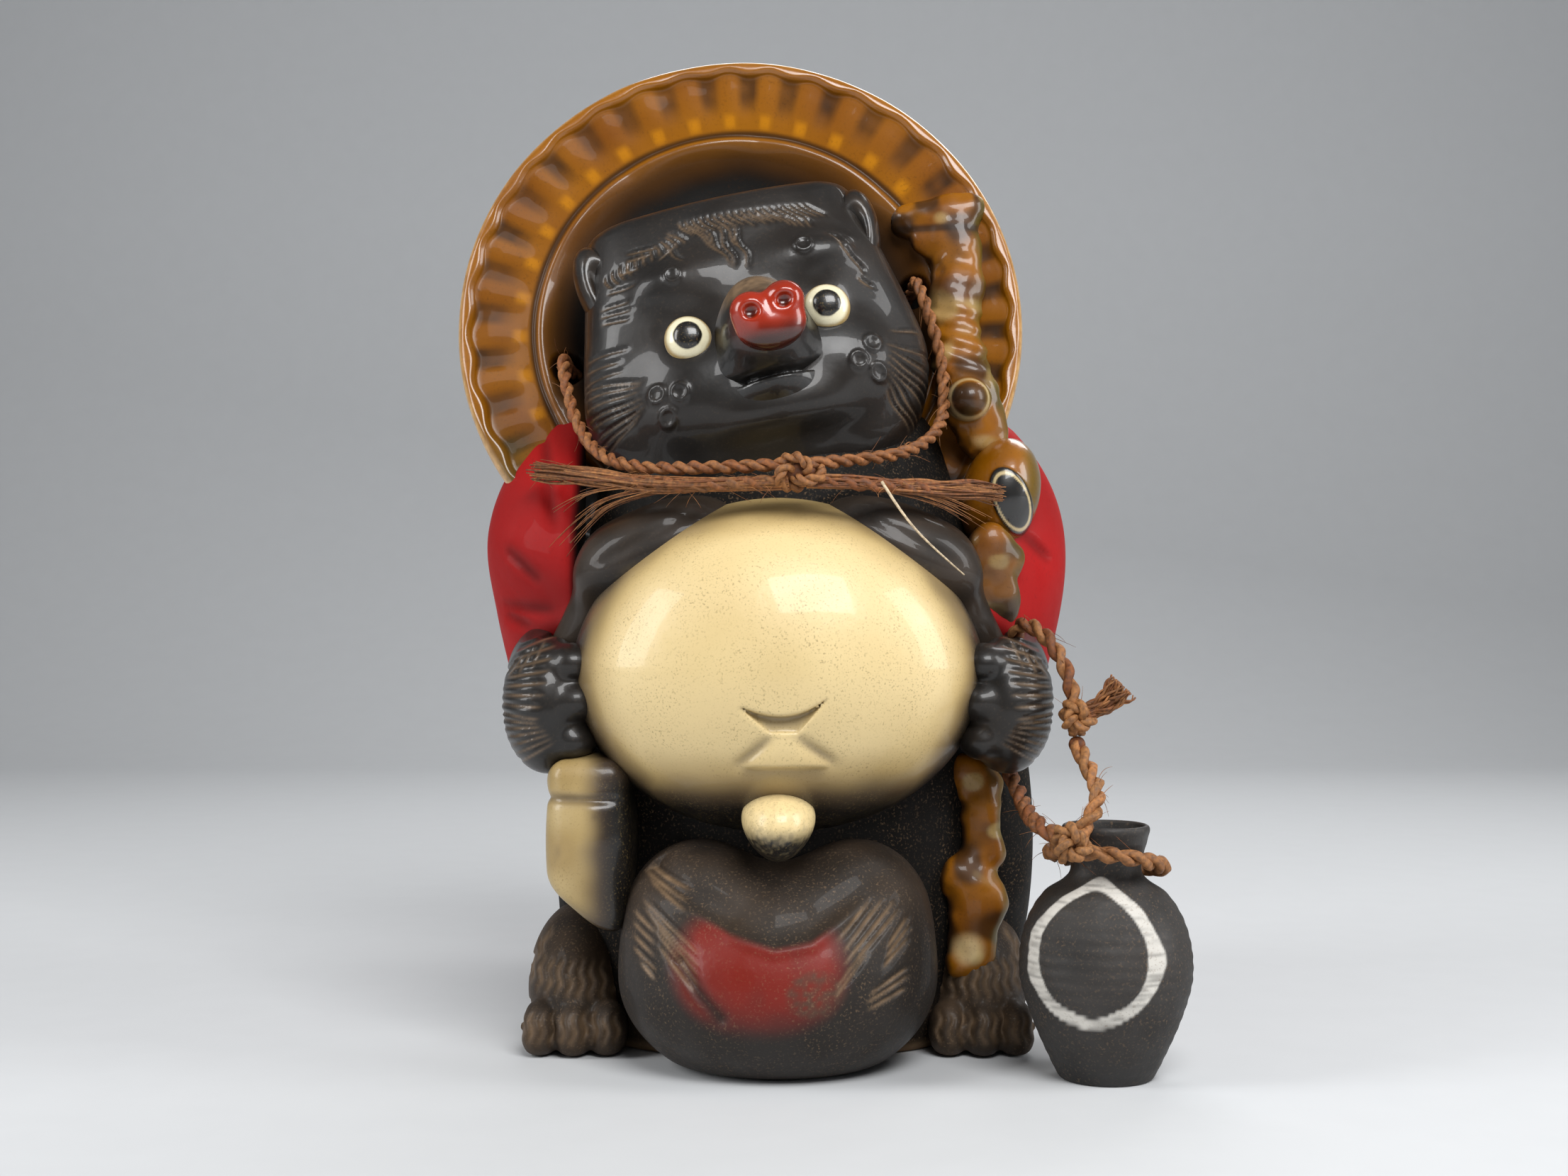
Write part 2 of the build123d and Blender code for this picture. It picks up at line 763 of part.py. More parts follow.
chin_routes = {
    "chin_cord_right": [chin_inner_route[0], chin_hole_exits[0], *chin_right_points],
    "chin_cord_left": [chin_inner_route[-1], chin_hole_exits[1], *chin_left_points],
    "chin_tail_right": chin_right_tail_points,
    "chin_tail_left": chin_left_tail_points,
}
for name, route in chin_routes.items():
    with BuildPart() as stretch:
        add(cord_tube(name, route, twine_diameter))
        add(chin_knot_form, mode=Mode.SUBTRACT)
    write(name, stretch)

# Flask rope on the figure: through the paw, over it to the slip knot, and the frayed end
slip_knot_plane = Plane((slip_knot_x, slip_knot_y, slip_knot_level))
slip_knot_form = ball(slip_knot_plane, slip_knot_width, slip_knot_width, slip_knot_height)
with BuildPart() as rope_slip_knot:
    add(slip_knot_form)
write("rope_slip_knot", rope_slip_knot)

paw_loop_start = (rope_hole_x, rope_hole_y, rope_pivot_level + rope_diameter / 2 + rope_clearance)
with BuildPart() as rope_paw_loop:
    add(cord_tube("rope_paw_loop", [paw_loop_start, *paw_loop_points], rope_diameter))
    add(slip_knot_form, mode=Mode.SUBTRACT)
write("rope_paw_loop", rope_paw_loop)

with BuildPart() as rope_frayed_end:
    add(cord_tube("rope_frayed_end", frayed_end_points, rope_diameter))
    add(slip_knot_form, mode=Mode.SUBTRACT)
write("rope_frayed_end", rope_frayed_end)

# Flask rope that swings: two strands from their round ends to the knot of the noose
noose_knot_x = flask_x + noose_knot_reach * cos(radians(noose_knot_turn))
noose_knot_y = flask_y + noose_knot_reach * sin(radians(noose_knot_turn))
noose_knot_plane = Plane((noose_knot_x, noose_knot_y, noose_knot_level))
with BuildPart() as noose_knot:
    add(halved_ball(noose_knot_plane, noose_knot_width, noose_knot_width, noose_knot_width))
write("noose_knot", noose_knot)

noose_lean = Vector(cos(radians(noose_knot_turn)), sin(radians(noose_knot_turn)), 0)
noose_normal = Vector(0, 0, 1) * cos(radians(noose_tilt)) - noose_lean * sin(radians(noose_tilt))
noose_plane = Plane((flask_x, flask_y, noose_level), z_dir=noose_normal)
with BuildPart(noose_plane) as noose:
    Torus(noose_diameter / 2, rope_diameter / 2)
    add(noose_knot.part.moved(noose_plane.location.inverse()), mode=Mode.SUBTRACT)
write("noose", noose)

drop_routes = {
    "rope_drop_front": [rope_pivot_front, *drop_front_points],
    "rope_drop_back": [rope_pivot_back, *drop_back_points],
}
for name, route in drop_routes.items():
    with BuildPart() as drop:
        add(cord_tube(name, route, rope_diameter))
        with Locations(route[0]):
            Sphere(rope_diameter / 2)
        add(noose_knot.part, mode=Mode.SUBTRACT)
    write(name, drop)
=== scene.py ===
"""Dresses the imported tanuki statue: glazed pottery sculpted from distance fields,
palm-fibre cords, and a loose unglazed flask. Forms are worked in millimetres."""
import math
import bpy
import numpy as np
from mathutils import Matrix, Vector


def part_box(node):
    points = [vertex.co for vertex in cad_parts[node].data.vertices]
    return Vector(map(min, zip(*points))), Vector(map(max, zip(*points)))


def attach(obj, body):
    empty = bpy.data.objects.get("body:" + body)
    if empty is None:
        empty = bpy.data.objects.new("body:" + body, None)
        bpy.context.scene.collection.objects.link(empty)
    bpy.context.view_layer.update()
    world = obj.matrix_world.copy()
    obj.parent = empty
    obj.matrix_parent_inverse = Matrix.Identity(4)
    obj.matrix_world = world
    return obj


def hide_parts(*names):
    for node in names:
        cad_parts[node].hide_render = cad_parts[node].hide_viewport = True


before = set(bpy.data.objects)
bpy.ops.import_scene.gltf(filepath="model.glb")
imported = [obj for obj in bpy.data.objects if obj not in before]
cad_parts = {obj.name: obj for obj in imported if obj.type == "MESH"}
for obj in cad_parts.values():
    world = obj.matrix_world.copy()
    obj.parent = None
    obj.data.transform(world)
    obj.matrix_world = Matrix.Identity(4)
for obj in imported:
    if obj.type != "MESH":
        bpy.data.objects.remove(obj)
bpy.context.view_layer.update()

MM = 0.001
FIGURE, ROPE, FLASK = "figure", "flask_rope", "flask"
COARSE = 1.0
ROUND = 2 * math.pi


# Colours, written as sRGB and used as linear light

def srgb(red, green, blue):
    channel = np.array((red, green, blue)) / 255
    return np.where(channel <= 0.04045, channel / 12.92, ((channel + 0.055) / 1.055) ** 2.4)


OCHRE, AMBER, UMBER = srgb(152, 94, 3), srgb(118, 66, 2), srgb(50, 28, 5)
OLIVE, ORANGE, WORN_TAN = srgb(84, 78, 18), srgb(190, 122, 6), srgb(214, 170, 110)
BLACK, SOOT, BARK = srgb(17, 15, 13), srgb(34, 28, 23), srgb(72, 57, 43)
TAN = srgb(150, 122, 92)
CREAM, SAND, EYE_WHITE = srgb(228, 204, 150), srgb(176, 148, 92), srgb(232, 224, 190)
RED, DARK_RED = srgb(164, 14, 14), srgb(96, 8, 8)
BRICK, RUST = srgb(118, 20, 2), srgb(104, 36, 14)
NOSE_RED = srgb(166, 40, 10)
CHARCOAL, CHALK = srgb(54, 50, 47), srgb(206, 202, 194)
FIBRE, PALE_FIBRE, THREAD = srgb(134, 78, 38), srgb(196, 138, 82), srgb(222, 206, 176)


def ramp(value, start, end):
    t = np.clip((value - start) / (end - start), 0, 1)
    return t * t * (3 - 2 * t)


def painted(points, ground, *coats, gloss=1.0):
    """Paint at each point: a ground, the coats over it, each a colour and its share, and the gloss."""
    paint = np.tile(ground, (points.shape[1], 1))
    for colour, share in coats:
        paint = paint + (colour - paint) * np.clip(share, 0, 1)[:, None]
    return np.column_stack((paint, np.broadcast_to(np.clip(gloss, 0, 1), len(paint))))


HASH, MASK = (73856093, 19349663, 83492791, 40503), 0x7FFFFFFF


def noise(points, size, seed):
    """Smooth value noise from 0 to 1, with lumps of that size."""
    scaled = points / size + 1000
    cell = np.floor(scaled).astype(np.int64)
    part = scaled - cell
    part = part * part * (3 - 2 * part)
    total = np.zeros(points.shape[1])
    for corner in np.ndindex(2, 2, 2):
        x, y, z = (cell[axis] + corner[axis] for axis in range(3))
        mixed = (x * HASH[0] ^ y * HASH[1] ^ z * HASH[2] ^ (seed + 1) * HASH[3]) & MASK
        mixed = (mixed * ((mixed * mixed * 15731 + 789221) & MASK) + 1376312589) & MASK
        weight = np.ones(points.shape[1])
        for axis in range(3):
            weight *= part[axis] if corner[axis] else 1 - part[axis]
        total += weight * mixed / MASK
    return total


# Distance fields: points are three rows of coordinates

def ellipsoid(points, centre, size, axes=None):
    local = points - np.array(centre)[:, None] + 1e-4
    if axes is not None:
        local = axes @ local
    half = np.array(size)[:, None] / 2
    near = np.linalg.norm(local / half, axis=0)
    steep = np.linalg.norm(local / half ** 2, axis=0)
    return near * (near - 1) / np.maximum(steep, 1e-5)


def capsule(points, start, end, radius):
    start, end = np.array(start)[:, None], np.array(end)[:, None]
    along = end - start
    share = np.clip(((points - start) * along).sum(0) / (along * along).sum(), 0, 1)
    return np.linalg.norm(points - start - along * share, axis=0) - radius


def join(one, other, soft):
    share = np.clip(0.5 + 0.5 * (other - one) / soft, 0, 1)
    return other + (one - other) * share - soft * share * (1 - share)


def meet(one, other, soft):
    return -join(-one, -other, soft)


def cut(one, other, soft):
    return -join(-one, other, soft)


def with_lumps(form, points, lumps):
    """A form with ellipsoids joined to it in turn; each is a centre, a size and how softly it joins."""
    for centre, size, soft in lumps:
        form = join(form, ellipsoid(points, centre, size), soft)
    return form


def leaning(first, second, degrees):
    """Rows of the axes of a form turned by that angle from one axis towards another."""
    angle = math.radians(degrees)
    axes = np.eye(3)
    axes[first, first] = axes[second, second] = math.cos(angle)
    axes[first, second], axes[second, first] = math.sin(angle), -math.sin(angle)
    return axes


def mirrored(points, side):
    return points * np.array((side, 1, 1))[:, None]


# Drawn lines, in two coordinates across and up

def off_stroke(across, up, x0, y0, x1, y1):
    """How far along a stroke a point lies, from 0 to 1, and its distance from it, squared."""
    dx, dy = x1 - x0, y1 - y0
    share = np.clip(((across - x0) * dx + (up - y0) * dy) / (dx * dx + dy * dy), 0, 1)
    return share, (across - x0 - share * dx) ** 2 + (up - y0 - share * dy) ** 2


def strokes(across, up, lines, width):
    """1 along the strokes, falling to 0 beside them and thinning to their ends."""
    deep = np.zeros_like(across)
    for line in lines:
        share, apart = off_stroke(across, up, *line)
        thin = np.sqrt(np.clip(4.2 * share * (1 - share), 0.04, 1))
        deep = np.maximum(deep, thin * np.exp(-apart / width ** 2))
    return deep


def drawn(across, up, points, width):
    """1 along a line through the given points, falling to 0 beside it."""
    apart = np.full(across.shape, 1e6)
    for start, end in zip(points, points[1:]):
        apart = np.minimum(apart, off_stroke(across, up, *start, *end)[1])
    return np.exp(-apart / width ** 2)


def fan(start, end, count, length, lean):
    """A row of combed strokes set side by side between two points."""
    x, y = np.linspace(start, end, count).T
    angle = np.radians(np.linspace(*lean, count))
    return tuple(zip(x, y, x + length * np.cos(angle), y + length * np.sin(angle)))


def fan_rows(rows, top, drop, half, inset, count, length, lean):
    """Fans one below the other, every second one set in at its two ends."""
    lines = ()
    for row in range(rows):
        level, odd = top - drop * row, row % 2
        lines += fan((inset[0] * odd - half, level), (half - inset[1] * odd, level), count, length, lean)
    return lines


def near_only(distance, points, reach, extra):
    """Add an extra only where the surface is near, since the drawn detail is costly."""
    close = np.abs(distance) < reach
    result = distance.copy()
    result[close] += extra(points[:, close])
    return result


FUR_REACH, RELIEF_REACH = 2.5, 3.5


def combed(form, points, lines, depth, width, on=lambda y: True, wave=0.0):
    """A form with strokes, drawn as seen from the front, cut in where its depth is on the right side."""
    def grooves(near):
        x, y, z = near
        return np.where(on(y), depth * strokes(x + wave * np.sin(z), z, lines, width), 0)
    return near_only(form, points, FUR_REACH, grooves)


# Meshing

BLOCK = 4    # grid steps along each side of a block


def surface_net(form, low, high, step):
    """Quads around the form's zero surface, worked only in blocks near that surface."""
    low = np.array(low, dtype=float)
    blocks = np.ceil((np.array(high) - low) / (step * BLOCK)).astype(int)
    centres = (np.indices(blocks).reshape(3, -1) + 0.5) * step * BLOCK + low[:, None]
    rough = form(centres)
    close = (np.abs(rough) < 1.5 * BLOCK * step).reshape(blocks)
    nodes = blocks * BLOCK + 1

    def spread(values):
        for axis in range(3):
            values = np.repeat(values, BLOCK, axis=axis)
        return np.pad(values, [(0, 1)] * 3, mode="edge")

    field = spread(rough.reshape(blocks))
    wanted = spread(close)
    for axis in range(3):
        wanted |= np.roll(wanted, 1, axis=axis)
    where = np.argwhere(wanted).T
    field[tuple(where)] = form(where * step + low[:, None])
    inside = field < 0
    cells = nodes - 1
    corners = [tuple(slice(o, o + c) for o, c in zip(offset, cells)) for offset in np.ndindex(2, 2, 2)]
    count = sum(inside[corner].astype(np.int8) for corner in corners)
    active = np.argwhere((count > 0) & (count < 8))
    number = np.full(cells, -1, dtype=np.int64)
    number[tuple(active.T)] = np.arange(len(active))
    total = np.zeros((len(active), 3))
    hits = np.zeros(len(active))
    for axis in range(3):
        others = [a for a in range(3) if a != axis]
        for offset in np.ndindex(2, 2):
            start = active.copy()
            start[:, others] += offset
            end = start.copy()
            end[:, axis] += 1
            a, b = field[tuple(start.T)], field[tuple(end.T)]
            crossing = (a < 0) != (b < 0)
            point = start.astype(float)
            point[:, axis] += a / np.where(crossing, a - b, 1)
            total += np.where(crossing[:, None], point, 0)
            hits += crossing
    verts = total / hits[:, None] * step + low
    quads = []
    for axis in range(3):
        others = [a for a in range(3) if a != axis]
        head = tuple(slice(1, None) if a == axis else slice(None) for a in range(3))
        tail = tuple(slice(None, -1) if a == axis else slice(None) for a in range(3))
        edge = np.argwhere(inside[tail] != inside[head])
        keep = np.all((edge[:, others] > 0) & (edge[:, others] < cells[others]), axis=1)
        edge = edge[keep]
        ring = []
        for offset in ((-1, -1), (0, -1), (0, 0), (-1, 0)):
            cell = edge.copy()
            cell[:, others] += offset
            ring.append(number[tuple(cell.T)])
        ring = np.stack(ring, axis=1)
        flip = inside[tuple(edge.T)] == (axis == 1)
        ring[flip] = ring[flip][:, ::-1]
        quads.append(ring)
    quads = np.concatenate(quads)
    return verts.T, quads[np.all(quads >= 0, axis=1)]


def slope(form, points, reach):
    rise = np.empty_like(points)
    for axis in range(3):
        shift = np.zeros((3, 1))
        shift[axis] = reach
        rise[axis] = form(points + shift) - form(points - shift)
    return rise / (2 * reach)


def in_scene(name, data):
    made = bpy.data.objects.new(name, data)
    bpy.context.scene.collection.objects.link(made)
    return made


def smooth_mesh(name, verts, faces, material):
    mesh = bpy.data.meshes.new(name)
    mesh.from_pydata(verts, [], faces)
    mesh.polygons.foreach_set("use_smooth", [True] * len(mesh.polygons))
    mesh.materials.append(material)
    return mesh


def piece(name, verts, faces, paint, material, nodes, body):
    """A painted mesh on a body, standing for CAD nodes. Paint is red, green, blue and gloss."""
    mesh = smooth_mesh(name, (verts.T * MM).tolist(), [list(face) for face in faces], MATERIALS[material])
    colours = mesh.color_attributes.new("paint", "FLOAT_COLOR", "POINT")
    colours.data.foreach_set("color", paint.astype(np.float32).ravel())
    mesh.validate()
    made = in_scene(name, mesh)
    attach(made, body)
    if nodes:
        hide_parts(*nodes)
    return made


def node_box(node, spare):
    low, high = (np.array(list(corner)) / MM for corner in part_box(node))
    return low - spare, high + spare


def sculpt(node, form, painter, material, step, spare=4, box=None):
    """The glazed piece of a node of the figure: a form is meshed in a box, drawn onto its surface,
    and painted by place and surface direction."""
    step *= COARSE
    verts, quads = surface_net(form, *(box or node_box(node, spare)), step)
    for _ in range(2):
        rise = slope(form, verts, step / 3)
        size = np.maximum((rise * rise).sum(0), 0.2)
        move = np.clip(form(verts) / size, -step / 2, step / 2)
        verts = verts - rise * move
    rise = slope(form, verts, step / 3)
    facing = rise / np.maximum(np.linalg.norm(rise, axis=0), 1e-6)
    piece("glazed_" + node, verts, quads, painter(verts, facing), material, [node], FIGURE)


# Materials

def tree_of(name):
    material = bpy.data.materials.new(name)
    material.use_nodes = True
    tree = material.node_tree
    return material, tree, tree.nodes["Principled BSDF"]


def wire(tree, node, inputs):
    """Link each input that is given a socket, and set each that is given a value."""
    for name, value in inputs.items():
        if isinstance(value, bpy.types.NodeSocket):
            tree.links.new(value, node.inputs[name])
        else:
            node.inputs[name].default_value = value


def add(tree, kind, inputs, **settings):
    node = tree.nodes.new("ShaderNode" + kind)
    for name, value in settings.items():
        setattr(node, name, value)
    wire(tree, node, inputs)
    return node


def texture(tree, kind, size, detail):
    """Outputs of a texture with features of that size in millimetres."""
    place = add(tree, "TexCoord", {}).outputs["Object"]
    return add(tree, kind, {"Scale": 1 / (size * MM), "Detail": detail, "Vector": place}).outputs


def levels(tree, source, low, high, to_low, to_high):
    return add(tree, "MapRange", {"From Min": low, "From Max": high, "To Min": to_low, "To Max": to_high,
                                  "Value": source}).outputs["Result"]


def maths(tree, operation, one, other):
    return add(tree, "Math", {0: one, 1: other}, operation=operation).outputs["Value"]


def blended(tree, one, other, share, kind="MIX"):
    return add(tree, "Mix", {"A": one, "B": other, "Factor": share},
               data_type="RGBA", blend_type=kind).outputs["Result"]


def bumps(tree, height, strength, size, **under):
    return add(tree, "Bump", {"Height": height, "Strength": strength, "Distance": size * MM,
                              **under}).outputs["Normal"]


PAINT = {"kind": "VertexColor", "inputs": {}, "layer_name": "paint"}
CLOUD_SIZE, PEEL_SIZE, PIT_SPACING, STRAND_SIZE = 14, 2.4, 5.5, 1.2
PEEL_HEIGHT, PIT_DEPTH, STRAND_HEIGHT = 0.4, 0.3, 0.3
STRAND_TONES = ((0.3, (0.4, 0.36, 0.34, 1)), (0.7, (1.15, 1.1, 1.05, 1)))


def glaze(name, rough, coat, speck, speck_colour, speck_size, peel, pits):
    """Painted pottery glaze: fine specks, a little orange peel and small pits under a clear coat,
    which the paint's gloss thins."""
    material, tree, shader = tree_of(name)
    paint = add(tree, **PAINT).outputs
    gloss = paint["Alpha"]
    grains = texture(tree, "TexNoise", speck_size, 3)["Fac"]
    clouds = texture(tree, "TexNoise", CLOUD_SIZE, 3)["Fac"]
    specks = maths(tree, "MULTIPLY", levels(tree, grains, 0.56, 0.72, 0, speck),
                   levels(tree, clouds, 0.35, 0.65, 0.25, 1))
    holes = texture(tree, "TexVoronoi", PIT_SPACING, 2)["Distance"]
    peeled = bumps(tree, texture(tree, "TexNoise", PEEL_SIZE, 2)["Fac"], peel, PEEL_HEIGHT)
    wire(tree, shader, {
        "Base Color": blended(tree, paint["Color"], (*speck_colour, 1), specks),
        "Roughness": maths(tree, "ADD", levels(tree, clouds, 0.3, 0.7, rough * 0.75, rough * 1.3),
                           levels(tree, gloss, 0, 1, 0.3, 0)),
        "Coat Weight": levels(tree, gloss, 0, 1, 0, coat),
        "Specular IOR Level": levels(tree, gloss, 0, 1, 0.1, 0.5),
        "Coat Roughness": 0.06,
        "Normal": bumps(tree, levels(tree, holes, 0.03, 0.09, 0, 1), pits, PIT_DEPTH, Normal=peeled),
    })
    return material


def fibre_material(name):
    """Painted palm fibre, streaked darker and paler."""
    material, tree, shader = tree_of(name)
    strands = texture(tree, "TexNoise", STRAND_SIZE, 4)["Fac"]
    tone = add(tree, "ValToRGB", {"Fac": strands})
    for stop, (position, colour) in zip(tone.color_ramp.elements, STRAND_TONES):
        stop.position, stop.color = position, colour
    paint = add(tree, **PAINT).outputs["Color"]
    wire(tree, shader, {"Base Color": blended(tree, paint, tone.outputs["Color"], 1, "MULTIPLY"),
                        "Roughness": levels(tree, strands, 0.3, 0.7, 0.55, 0.8),
                        "Normal": bumps(tree, strands, 0.4, STRAND_HEIGHT)})
    return material


# Roughness, clear coat, the specks' strength, colour and size, orange peel and pits
GLAZES = {
    "brown_glaze": (0.46, 0.12, 0.35, TAN, 0.7, 0.25, 0.25),
    "black_glaze": (0.36, 0.45, 0.35, BARK, 0.8, 0.15, 0.25),
    "cream_glaze": (0.4, 0.25, 0.75, SAND * 0.55, 0.55, 0.25, 0.25),
    "red_glaze": (0.46, 0.15, 0.3, DARK_RED, 1.0, 0.12, 0.35),
    "ochre_glaze": (0.3, 0.6, 0.35, UMBER, 0.8, 0.12, 0.6),
    "nose_glaze": (0.24, 0.7, 0.2, DARK_RED, 0.8, 0.08, 0.25),
    "eye_glaze": (0.28, 0.6, 0.25, SAND, 0.5, 0.05, 0.1),
    "dark_stoneware": (0.62, 0.0, 0.5, TAN * 0.6, 0.7, 0.5, 0.4),
}
MATERIALS = {name: glaze(name, *values) for name, values in GLAZES.items()}
MATERIALS["palm_rope"] = fibre_material("palm_rope")


# The hat's own frame, which the head shares: across, up and out of its disc

HAT_CENTRE = np.array((-11.5, 8.0, 212.0))
TILT, ROLL = math.radians(12), math.radians(13)
OUT = np.array((0, -math.cos(TILT), math.sin(TILT)))
ACROSS = np.array((math.cos(ROLL), math.sin(ROLL) * math.sin(TILT), math.sin(ROLL) * math.cos(TILT)))
HAT_AXES = np.array((ACROSS, np.cross(OUT, ACROSS), OUT))


def to_face(points):
    return HAT_AXES @ (points - HAT_CENTRE[:, None])


def from_face(points):
    return HAT_AXES.T @ np.array(points, dtype=float) + HAT_CENTRE[:, None]


def on_face(form):
    return lambda points: form(to_face(points))


def face_box(low, high):
    """The lowest and highest corners of a box that is given in the hat's frame."""
    ends = np.array((low, high), dtype=float)
    corners = from_face([ends[list(bits), axis] for axis, bits in enumerate(zip(*np.ndindex(2, 2, 2)))])
    return corners.min(axis=1), corners.max(axis=1)


# Camera, placed as the photograph was taken: level, in front of the belly

CAMERA_AT, LENS, SENSOR = (0.0017, -0.620, 0.1325), 47.5, 36
camera = in_scene("camera", bpy.data.cameras.new("camera"))
camera.data.lens = LENS
camera.data.sensor_width = SENSOR
camera.location = CAMERA_AT
camera.rotation_euler = (math.radians(90), 0, 0)
bpy.context.scene.camera = camera


# Cords: twisted palm fibre along the routes of the CAD cords

def spline_points(route):
    """Points in millimetres along the smooth line that a route of control points gives."""
    curve = bpy.data.curves.new("route", "CURVE")
    curve.dimensions = "3D"
    curve.resolution_u = 24
    spline = curve.splines.new("NURBS")
    spline.points.add(len(route) - 1)
    for point, place in zip(spline.points, route):
        point.co = (*(value * MM for value in place), 1)
    spline.order_u = 3
    spline.use_endpoint_u = True
    holder = bpy.data.objects.new("route", curve)
    line = bpy.data.meshes.new_from_object(holder)
    places = np.array([list(vertex.co) for vertex in line.vertices]) / MM
    bpy.data.objects.remove(holder)
    bpy.data.curves.remove(curve)
    bpy.data.meshes.remove(line)
    return places


def run_along(line):
    """The distance along a line at each of its points."""
    return np.concatenate(([0], np.cumsum(np.linalg.norm(np.diff(line, axis=0), axis=1))))


def evenly(line, gap):
    """The same line with points a gap apart, and its length."""
    run = run_along(line)
    wanted = np.linspace(0, run[-1], max(int(run[-1] / gap), 4) + 1)
    return np.stack([np.interp(wanted, run, line[:, axis]) for axis in range(3)], axis=1), run[-1]


def frames(line):
    """Two directions across a line at each point, carried along it without twisting."""
    along = np.gradient(line, axis=0)
    along /= np.linalg.norm(along, axis=1)[:, None]
    side = np.cross(along[0], (0.3, 0.5, 0.81))
    side /= np.linalg.norm(side)
    sides = []
    for direction in along:
        side = side - direction * (side @ direction)
        side /= np.linalg.norm(side)
        sides.append(side)
    sides = np.array(sides)
    return sides, np.cross(along, sides)


def beside(line, angle, reach):
    """A line moved aside by a reach, in a direction that turns about it."""
    one, two = frames(line)
    return line + (reach * np.cos(angle))[:, None] * one + (reach * np.sin(angle))[:, None] * two


def rings(rows, count):
    """Quads between rings of points that follow each other."""
    return [(row * count + col, row * count + (col + 1) % count,
             (row + 1) * count + (col + 1) % count, (row + 1) * count + col)
            for row in range(rows - 1) for col in range(count)]


def tube(line, radii, ridges):
    """Verts and faces of a closed tube whose section is the given ring of ridge heights."""
    one, two = frames(line)
    count = len(ridges)
    angles = np.arange(count) * ROUND / count
    ring = np.cos(angles)[None, :, None] * one[:, None] + np.sin(angles)[None, :, None] * two[:, None]
    verts = (line[:, None] + ring * (radii[:, None] * ridges)[:, :, None]).reshape(-1, 3)
    last = (len(line) - 1) * count
    ends = [tuple(range(count))[::-1], tuple(range(last, last + count))]
    return verts, rings(len(line), count) + ends


def fibres(name, nodes, body, parts):
    """One piece of all the tubes, each with its own shade."""
    verts, faces, shades = [], [], []
    for part_verts, part_faces, shade in parts:
        start = sum(len(v) for v in verts)
        verts.append(part_verts)
        faces += [tuple(index + start for index in face) for face in part_faces]
        shades.append(np.tile((*shade, 1), (len(part_verts), 1)))
    return piece(name, np.concatenate(verts).T, faces, np.concatenate(shades), "palm_rope", nodes, body)


def fibre_shade(rng):
    return FIBRE * rng.uniform(0.55, 1) + (PALE_FIBRE - FIBRE) * rng.uniform(0, 0.7)


# Of the cord's diameter: a ply's size, its offset from the line and the length of one turn
PLIES, PLY_SIZE, PLY_OFFSET, PITCH = 2, 0.56, 0.24, 2.6
PLY_SIDES, CORE_SIDES, FIBRE_SIDES, HAIR_SIDES = 12, 14, 5, 4
HAIR_STEPS, HAIR_DROOP, HAIR_RADIUS, HAIR_LENGTHS = 7, 0.5, 0.11, (3, 8)
WISP_RADIUS, WISP_GAP, THREAD_RADIUS = 0.17, 1.2, 0.45


def twisted(line, diameter, rng):
    """Plies laid round a line, each ridged like a bundle of fibres."""
    run = run_along(line)
    parts = []
    for ply in range(PLIES):
        turn = ply * ROUND / PLIES + run * ROUND / (PITCH * diameter)
        radii = diameter * PLY_SIZE / 2 * (1 + 0.08 * np.sin(run * 1.7 + ply * 2.1))
        ridges = 1 + 0.16 * rng.uniform(-1, 0.6, PLY_SIDES)
        parts.append((*tube(beside(line, turn, diameter * PLY_OFFSET), radii, ridges), fibre_shade(rng)))
    return parts


def hair(start, direction, length, rng):
    """One loose fibre, bent a little and thinning to its tip."""
    direction = direction / np.linalg.norm(direction)
    bend = rng.normal(0, 0.35, 3) - (0, 0, HAIR_DROOP)
    places = [start]
    for _ in range(HAIR_STEPS):
        direction = direction + bend / HAIR_STEPS
        direction /= np.linalg.norm(direction)
        places.append(places[-1] + direction * length / HAIR_STEPS)
    radii = HAIR_RADIUS * np.linspace(1, 0.35, HAIR_STEPS + 1)
    return (*tube(np.array(places), radii, np.ones(HAIR_SIDES)), fibre_shade(rng))


def hairs_along(line, diameter, count, rng):
    one, two = frames(line)
    along = np.gradient(line, axis=0)
    parts = []
    for _ in range(count):
        at = rng.integers(2, len(line) - 2)
        angle = rng.uniform(0, ROUND)
        side = math.cos(angle) * one[at] + math.sin(angle) * two[at]
        lead = along[at] / np.linalg.norm(along[at]) * rng.choice((-1, 1))
        parts.append(hair(line[at] + side * diameter * 0.4, side * 0.7 + lead,
                          rng.uniform(*HAIR_LENGTHS), rng))
    return parts


def bundle(line, diameter, count, rng, splay, shortest):
    """Untwisted fibres side by side along a line, spreading over its last part. The shortest ends
    at that share of it."""
    share = np.linspace(0, 1, len(line))
    core = diameter * (0.26 - 0.12 * share ** 2)
    # a dark core under the fibres: painted shade in the gaps between them
    parts = [(*tube(line, core, 1 + 0.3 * rng.uniform(-1, 0.4, CORE_SIDES)), FIBRE * 0.45)]
    for _ in range(count):
        angle, reach = rng.uniform(0, ROUND), math.sqrt(rng.uniform(0.05, 1)) * diameter * 0.46
        spin = angle + share * rng.uniform(-2.5, 2.5)
        wave = 1 + 0.25 * np.sin(share * rng.uniform(8, 16) + angle)
        spread = reach * wave * (1 + splay * np.clip((share - 0.25) / 0.75, 0, 1) ** 1.5)
        end = max(int(len(line) * min(1, rng.uniform(shortest, 1.4))), 6)
        radii = diameter * rng.uniform(0.06, 0.12) * (1 - 0.5 * np.clip(share - 0.6, 0, 1) / 0.4)
        strand = tube(beside(line, spin, spread)[:end], radii[:end], np.ones(FIBRE_SIDES))
        parts.append((*strand, fibre_shade(rng)))
    return parts


